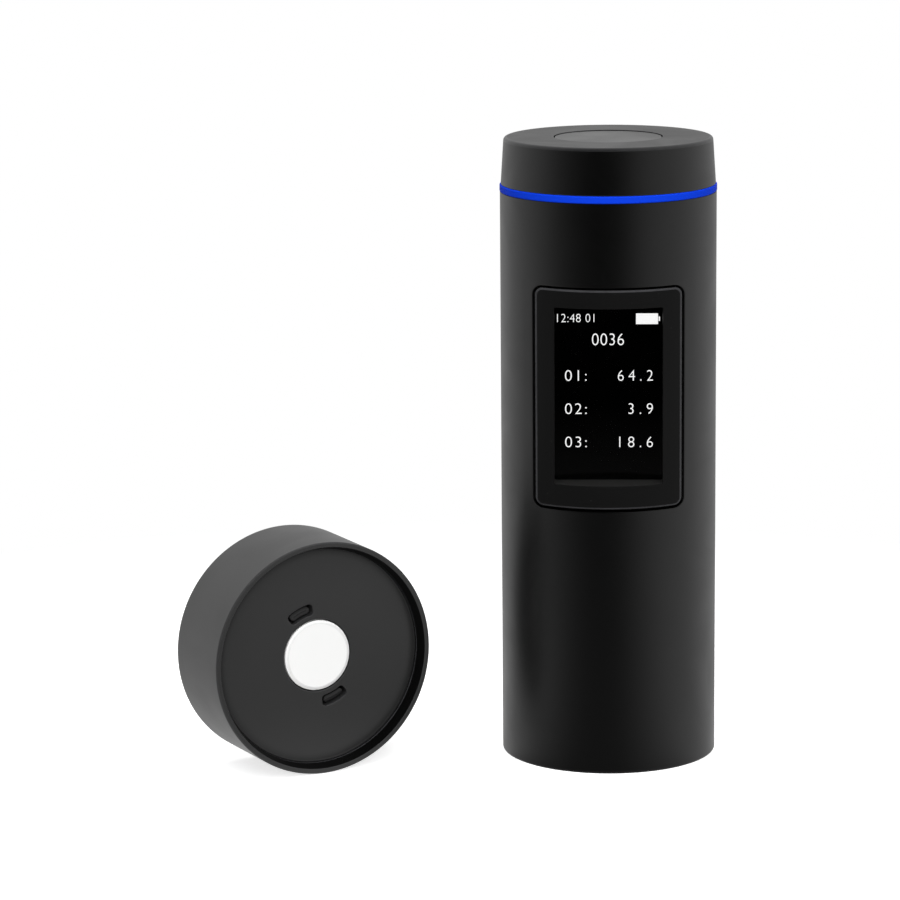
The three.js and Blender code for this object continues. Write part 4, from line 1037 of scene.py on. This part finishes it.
# On the white tile the edge tone is darker than the tile: a painted shade line round its bevel.
moulded("white_tile", "f5f5f4", 0.65, grain_size=0.4, relief_size=0.001, dust_and_light=0.0, wear_and_light=0.14,
        Specular_IOR_Level=0.1)
moulded("chip_black", "141416", 0.55, grain_size=0.05, relief_size=0.002)
moulded("cream_nylon", "d9d2bf", 0.45, grain_size=0.06, relief_size=0.002)
moulded("seal_rubber", "0b0b0b", 0.75, grain_size=0.06, smears=0.0)
for lead_name, lead_tone in (("red_lead", "a11212"), ("black_lead", "0c0c0c")):
    moulded(lead_name, lead_tone, 0.35, grain_size=0.3, relief_size=0.002)
moulded("lamp_resin", "efe6b8", 0.25, grain_size=0.05, relief_size=0.001, dust_and_light=0.0)
print("plastic materials ready:", len(looks))

# %% [markdown]
# ## Metal, circuit boards and flat leads
#
# Screws, the port's shell and the cell's foil are metals: their colour is in the reflection, and what
# makes them look real is how the roughness changes, in fine streaks left by the tool. A circuit board is a
# green lacquer over copper tracks, with bare gold pads. Tracks run at right angles, so they are drawn where
# two cells of a Voronoi pattern meet when distance is measured along the axes. A flat lead is an amber film
# with copper strips, which follow a wave in the sideways direction.

# %% Groups: streaked metal, circuit board, conductor strips
STREAKS_PER_METRE = (900.0, 900.0, 9000.0)
STAIN_TONE = (0.2, 0.2, 0.19, 1.0)

metal, metal_in = group(
    "streaked_metal", {"Tone": (0.5, 0.5, 0.5, 1.0), "Evenness": 0.3, "Wrinkles": 0.0},
    ("Colour", "Roughness", "Height"))
metal_place = own_place(metal)
stretched = node(metal, "VectorMath", {0: metal_place, 1: STREAKS_PER_METRE}, operation="MULTIPLY")
streaks = noise(metal, stretched.outputs["Vector"], 1.0, 3.0)
folds = noise(metal, metal_place, 320.0, 2.0, 0.8)
give(metal,
     Colour=blend_colours(metal, spread(metal, folds, 0.4, 0.7, 0.0, 0.35), metal_in["Tone"], STAIN_TONE),
     Roughness=calc(metal, "ADD", metal_in["Evenness"], spread(metal, streaks, 0.3, 0.7, -0.1, 0.12)),
     Height=calc(metal, "ADD", streaks, calc(metal, "MULTIPLY", folds, metal_in["Wrinkles"])))

circuit, circuit_in = group(
    "circuit_board",
    {"Lacquer": (0.0, 0.05, 0.02, 1.0), "Track": (0.01, 0.12, 0.05, 1.0), "Pad": (0.7, 0.5, 0.15, 1.0),
     "Pitch": 1.2},
    ("Colour", "Roughness", "Metallic", "Height"))
board_place = own_place(circuit)
cell_scale = calc(circuit, "DIVIDE", MM_PER_METRE, circuit_in["Pitch"])
nearest, second = (
    node(circuit, "TexVoronoi", {"Vector": board_place, "Scale": cell_scale}, feature=kind,
         distance="CHEBYCHEV").outputs["Distance"] for kind in ("F1", "F2"))
track = spread(circuit, calc(circuit, "SUBTRACT", second, nearest), 0.05, 0.09, 1.0, 0.0)
pad = spread(circuit, nearest, 0.1, 0.13, 1.0, 0.0)
lacquered = blend_colours(circuit, track, circuit_in["Lacquer"], circuit_in["Track"])
give(circuit, Colour=blend_colours(circuit, pad, lacquered, circuit_in["Pad"]),
     Roughness=spread(circuit, pad, 0.0, 1.0, 0.38, 0.28), Metallic=pad,
     Height=calc(circuit, "MAXIMUM", track, pad))


def zigzag(tree, along, pitch):
    """Nought at each whole multiple of the pitch, growing evenly to one half way between two of them."""
    half = calc(tree, "MULTIPLY", pitch, 0.5 * MM)
    return calc(tree, "DIVIDE", calc(tree, "PINGPONG", along, half), half)


strips, strips_in = group(
    "conductor_strips",
    {"Film": (0.3, 0.1, 0.01, 1.0), "Copper": (0.6, 0.25, 0.08, 1.0), "Pitch": 0.5},
    ("Colour", "Roughness", "Metallic", "Height"))
sideways = node(strips, "SeparateXYZ", {0: own_place(strips)}).outputs["X"]
copper = spread(strips, zigzag(strips, sideways, strips_in["Pitch"]), 0.45, 0.55)
give(strips, Colour=blend_colours(strips, copper, strips_in["Film"], strips_in["Copper"]),
     Roughness=spread(strips, copper, 0.0, 1.0, 0.4, 0.3), Metallic=copper, Height=copper)

finished("steel", metal, {"Tone": colour("c4c4c6"), "Evenness": 0.3}, 0.002, Metallic=1.0)
finished("port_metal", metal, {"Tone": colour("b9babc"), "Evenness": 0.26}, 0.001, Metallic=1.0)
finished("cell_foil", metal, {"Tone": colour("b4b6b8"), "Evenness": 0.42, "Wrinkles": 12.0}, 0.01,
         Metallic=1.0)
board_tones = {"Lacquer": colour("0d3a22"), "Track": colour("1c5a38"), "Pad": colour("d9b25a")}
finished("green_board", circuit, board_tones, 0.03)
finished("flat_lead", strips, {"Film": colour("a8661a"), "Copper": colour("c98a3c")}, 0.01)
finished("port_contacts", strips, {"Film": colour("0c0c0c"), "Copper": colour("d9b25a")}, 0.01)
print("metal and board materials ready:", len(looks))

# %% [markdown]
# ## Glass, foam and the display
#
# The glass pieces are clear and carry only faint finger marks, which change their roughness. The foam disc
# behind the tile is a mass of open cells, whose pores are painted darker than their walls as shade. The
# display is a grid of dots a ninth of a millimetre apart: both the black ground and the white figures are
# drawn with that grid.

# %% Groups: finger marks, foam cells, dot grid
marks, marks_in = group("finger_marks", {"Clean": 0.02, "Marked": 0.07}, ("Roughness",))
marked = spread(marks, noise(marks, own_place(marks), 160.0, 5.0, 2.0), 0.5, 0.75)
give(marks, Roughness=spread(marks, marked, 0.0, 1.0, marks_in["Clean"], marks_in["Marked"]))

cells, cells_in = group(
    "foam_cells", {"Light": (0.1, 0.1, 0.1, 1.0), "Pore Shade": (0.01, 0.01, 0.01, 1.0), "Cell Size": 0.25},
    ("Colour", "Height"))
foam_scale = calc(cells, "DIVIDE", MM_PER_METRE, cells_in["Cell Size"])
cell_walls = node(cells, "TexVoronoi", {"Vector": own_place(cells), "Scale": foam_scale}).outputs["Distance"]
# Pores darker than the cell walls: painted shade in the foam's pits.
cell_wall_share = spread(cells, cell_walls, 0.2, 0.6)
give(cells, Colour=blend_colours(cells, cell_wall_share, cells_in["Pore Shade"], cells_in["Light"]), Height=cell_walls)

dots, dots_in = group("dot_grid", {"Dot": WHITE, "Gap": (0.6, 0.6, 0.6, 1.0), "Pitch": 0.11}, ("Light",))
dot_place = node(dots, "SeparateXYZ", {0: own_place(dots)}).outputs
across, upward = (zigzag(dots, dot_place[axis], dots_in["Pitch"]) for axis in ("X", "Z"))
in_dot = spread(dots, calc(dots, "MINIMUM", across, upward), 0.1, 0.2)
give(dots, Light=blend_colours(dots, in_dot, dots_in["Gap"], dots_in["Dot"]))

finished("cover_glass", marks, {}, Base_Color=colour("ffffff"), Transmission_Weight=1.0, IOR=1.5)
finished("foam", cells, {"Light": colour("4a4a4a"), "Pore Shade": colour("141414")}, 0.08, Roughness=0.9)
finished("screen", dots, {"Dot": colour("010101"), "Gap": colour("000000")},
         Base_Color=colour("010102"), Roughness=0.25, Emission_Strength=1.0)
finished("lit_figures", dots, {"Dot": colour("ffffff"), "Gap": colour("ececec")},
         Base_Color=colour("202020"), Roughness=0.5, Emission_Strength=1.0)
print("display materials ready:", len(looks))

# %% [markdown]
# ## Finishes on the pieces
#
# Each finish is listed with the pieces that have it: the fine ones made here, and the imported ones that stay.

# %% Assign materials


def numbered(name, count):
    return " ".join(f"{name}_{k}" for k in range(1, count + 1))


finishes = {
    "satin_black": "barrel_fine",
    "top_black": "top_cap_fine",
    "button_black": "measure_button_fine",
    "accent_blue": "accent_ring_fine",
    "bezel_black": "display_bezel_fine",
    "cap_black": "cap_shell_fine cap_face_plate_fine",
    "white_tile": "white_tile_fine",
    "inner_plastic": "tile_carrier_fine measuring_base chassis",
    "optics_black": "optics_housing",
    "cover_glass": "display_glass sensor_lens aperture_window",
    "screen": "display_panel",
    "lit_figures": "display_figures",
    "seal_rubber": "base_seal",
    "foam": "tile_cushion",
    "green_board": "main_board switch_board charge_board sensor_board",
    "chip_black": "processor_chip sensor_chip switch_housing",
    "cream_nylon": "switch_plunger switch_connector display_connector battery_connector charge_connector "
                   "sensor_connector",
    "flat_lead": "switch_flex display_flex charge_flex sensor_flex",
    "cell_foil": "battery",
    "red_lead": "battery_lead_red",
    "black_lead": "battery_lead_black",
    "port_metal": "usb_receptacle_fine",
    "port_contacts": "port_tongue_fine",
    "lamp_resin": numbered("led", 6),
    "steel": " ".join([numbered("switch_screw", 3), numbered("base_screw", 3), numbered("board_screw", 4)]),
}
for look, names in finishes.items():
    for name in names.split():
        data = bpy.data.objects[name].data
        data.materials.clear()
        data.materials.append(looks[look])
covered = {name for names in finishes.values() for name in names.split()}
left = [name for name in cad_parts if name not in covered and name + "_fine" not in covered]
print("finishes on", len(covered), "pieces, left out:", left)

# %% [markdown]
# The cone inside the cap's rim shows as a black band between the grey rim and the grey face plate, so the
# faces of that band get a second material, a darker and glossier copy of the cap's plastic: its darkness is
# painted shade. The face plate's outer ring gets its numbers of painted shade here.

# %% Polished band inside the cap
BAND_DEPTH = 9.4
BAND_INNER, BAND_OUTER = 15.6, 16.28
WALL_SHADE_STRENGTH = 0.75
WALL_SHADE_POWER = 1.5


def in_cap(places):
    """Depth from the closed back and distance from the cap's axis, in millimetres, of places in metres."""
    from_back = (places - axis_place) / MM - (cap_mouth - CAP_LENGTH * cap_out)
    return from_back @ cap_out, np.hypot(from_back @ cap_side, from_back @ cap_up)


shell_mesh, plate_mesh = cap_shell.data, face_plate.data
shell_mesh.materials.append(looks["cap_bore_shade"])
depth, radius = in_cap(gathered(shell_mesh.polygons, "center"))
shaded_band = (depth > BAND_DEPTH) & (radius > BAND_INNER) & (radius < BAND_OUTER)
shell_mesh.polygons.foreach_set("material_index", shaded_band.astype(int))
depth, radius = in_cap(gathered(plate_mesh.vertices, "co"))
# Painted shade on the face plate's outer ring, darker towards the cap's wall.
painted_wall_shade = WALL_SHADE_STRENGTH * wall_shade_share(radius) ** WALL_SHADE_POWER
wall_shade_layer = plate_mesh.attributes.new("wall_shade", "FLOAT", "POINT")
wall_shade_layer.data.foreach_set("value", painted_wall_shade.astype(np.float32))
print(int(shaded_band.sum()), "polished faces")

# %% [markdown]
# ## Floor and light
#
# The photograph has a pure white ground and a body that is bright towards its edges and dark in the middle
# of its front. A satin cylinder shows its surroundings: its edges reflect what is behind and beside it,
# which is bright, and its middle reflects the camera's side, which is dark. One group works out that
# brightness from a direction. Only mirrored rays see it, in the world and in the floor, where it is softer
# near the object and has crisper steps far off.
#
# All else gets a weak, even light from the world and the floor, and the light of two large lamps, one above
# and one in front, which don't show in the reflections. To the camera the floor is white paper: near the
# object it takes a faint shadow, and further off it is plain white.

# %% Group: the studio round the object
DARK_SIDE = (-0.12, -0.9928, 0.0)
# Each ramp starts and ends at an azimuth in degrees and adds its rise in brightness.
RAMPS = [(15, 38, 0.54), (38, 85, 0.2), (-20, -50, 0.16), (-50, -85, 0.58)]

studio, studio_in = group("studio_glow", {"Direction": (0.0, 1.0, 0.0), "Distant": 1.0}, ("Glow",))
aim = node(studio, "VectorMath", {0: studio_in["Direction"]}, operation="NORMALIZE").outputs["Vector"]
facing = node(studio, "VectorMath", {0: aim, 1: DARK_SIDE}, operation="DOT_PRODUCT").outputs["Value"]
soft_side = spread(studio, facing, 0.97, 0.38, 0.1, 0.62)
compass = node(studio, "SeparateXYZ", {0: aim}).outputs
azimuth = calc(studio, "ARCTAN2", compass["X"], calc(studio, "MULTIPLY", compass["Y"], -1.0))
crisp_side = 0.0
for start, end, rise in RAMPS:
    step = spread(studio, azimuth, math.radians(start), math.radians(end), 0.0, rise)
    crisp_side = calc(studio, "ADD", step, crisp_side)
side_glow = node(studio, "Mix", {"Factor": studio_in["Distant"], 2: soft_side, 3: crisp_side}).outputs[0]
backing = calc(studio, "ADD", spread(studio, facing, 0.0, -0.4, 0.0, 0.1),
               spread(studio, facing, -0.6, -0.95, 0.0, -0.16))
give(studio, Glow=calc(studio, "ADD", side_glow, backing))


def studio_glow(tree, direction, distant=1.0):
    made = node(tree, "Group")
    made.node_tree = studio
    put(tree, made.inputs["Direction"], direction)
    put(tree, made.inputs["Distant"], distant)
    return made.outputs["Glow"]


def white_light(tree, kind, strength):
    return node(tree, kind, {"Color": WHITE, "Strength": strength}).outputs[0]


def mixed(tree, share, a, b):
    return node(tree, "MixShader", {0: share, 1: a, 2: b}).outputs[0]


def seen_directly(tree, ray):
    """One for rays from the camera, straight or through glass."""
    return calc(tree, "MAXIMUM", ray["Is Camera Ray"], ray["Is Transmission Ray"])


print("studio group ready")

# %% World
AMBIENT = 0.3

world = bpy.data.worlds.new("studio")
bpy.context.scene.world = world
world.use_nodes = True
air = world.node_tree
air.nodes.clear()
ray = node(air, "LightPath").outputs
sky = studio_glow(air, node(air, "TexCoord").outputs["Generated"])
around = mixed(air, ray["Is Glossy Ray"], white_light(air, "Background", AMBIENT),
               white_light(air, "Background", sky))
whole_sky = mixed(air, seen_directly(air, ray), around, white_light(air, "Background", 1.0))
put(air, node(air, "OutputWorld").inputs["Surface"], whole_sky)
print("world ready")

# %% Floor
FLOOR_REACH = 3.0
SHADOW_INNER, SHADOW_OUTER = 0.08, 0.16
PAPER_TONE = (0.86, 0.86, 0.86, 1)
PAPER_LIFT = 0.68
BOUNCE = 0.35

floor_mesh = bpy.data.meshes.new("floor")
floor_corners = [(x * FLOOR_REACH, y * FLOOR_REACH, 0) for x, y in ((-1, -1), (1, -1), (1, 1), (-1, 1))]
floor_mesh.from_pydata(floor_corners, [], [(0, 1, 2, 3)])
floor = linked("floor", floor_mesh)
paper = bpy.data.materials.new("floor_paper")
paper.use_nodes = True
tree = paper.node_tree
tree.nodes.clear()
ray = node(tree, "LightPath").outputs
floor_place = own_place(tree)
from_axis = node(tree, "VectorMath", {0: floor_place, 1: axis_place.tolist()},
                 operation="SUBTRACT").outputs["Vector"]
distance, axis_distance = (node(tree, "VectorMath", {0: way}, operation="LENGTH").outputs["Value"]
                           for way in (floor_place, from_axis))
matt = node(tree, "BsdfDiffuse", {"Color": PAPER_TONE}).outputs[0]
near = node(tree, "AddShader", {0: matt, 1: white_light(tree, "Emission", PAPER_LIFT)}).outputs[0]
far_share = spread(tree, distance, SHADOW_INNER, SHADOW_OUTER)
camera_floor = mixed(tree, far_share, near, white_light(tree, "Emission", 1.0))
solid_floor = mixed(tree, seen_directly(tree, ray), white_light(tree, "Emission", BOUNCE), camera_floor)
mirrored = studio_glow(tree, from_axis, spread(tree, axis_distance, 0.12, 0.3))
nearness = spread(tree, axis_distance, 0.03, 0.4, 1.35, 1.0)
mirror_level = calc(tree, "MULTIPLY", mirrored, nearness)
whole_floor = mixed(tree, ray["Is Glossy Ray"], solid_floor, white_light(tree, "Emission", mirror_level))
put(tree, node(tree, "OutputMaterial").inputs["Surface"], whole_floor)
floor_mesh.materials.append(paper)
print("floor ready")

# %% Lamps
# Name, place and the place it looks at in metres, size in metres, power in watts.
LAMPS = [
    ("overhead", (0.0, -0.25, 0.9), (0.0, 0.0, 0.04), 0.9, 7.0),
    ("front", (0.18, -0.95, 0.42), (0.0, 0.0, 0.05), 0.7, 8.0),
]


def soft_lamp(name, place, target, size, power):
    """A square lamp at a place, turned to look at another place, that no camera or mirrored ray sees."""
    data = bpy.data.lights.new(name, "AREA")
    data.size = size
    data.energy = power
    back = np.array(place, float) - np.array(target, float)
    back /= np.linalg.norm(back)
    side = np.cross([0.0, 1.0, 0.0] if abs(back[2]) > 0.95 else [0.0, 0.0, 1.0], back)
    side /= np.linalg.norm(side)
    lamp = linked(name, data)
    lamp.matrix_world = placing(side, np.cross(back, side), back, place)
    lamp.visible_glossy = False
    lamp.visible_camera = False


for settings in LAMPS:
    soft_lamp(*settings)
print("lamps ready")
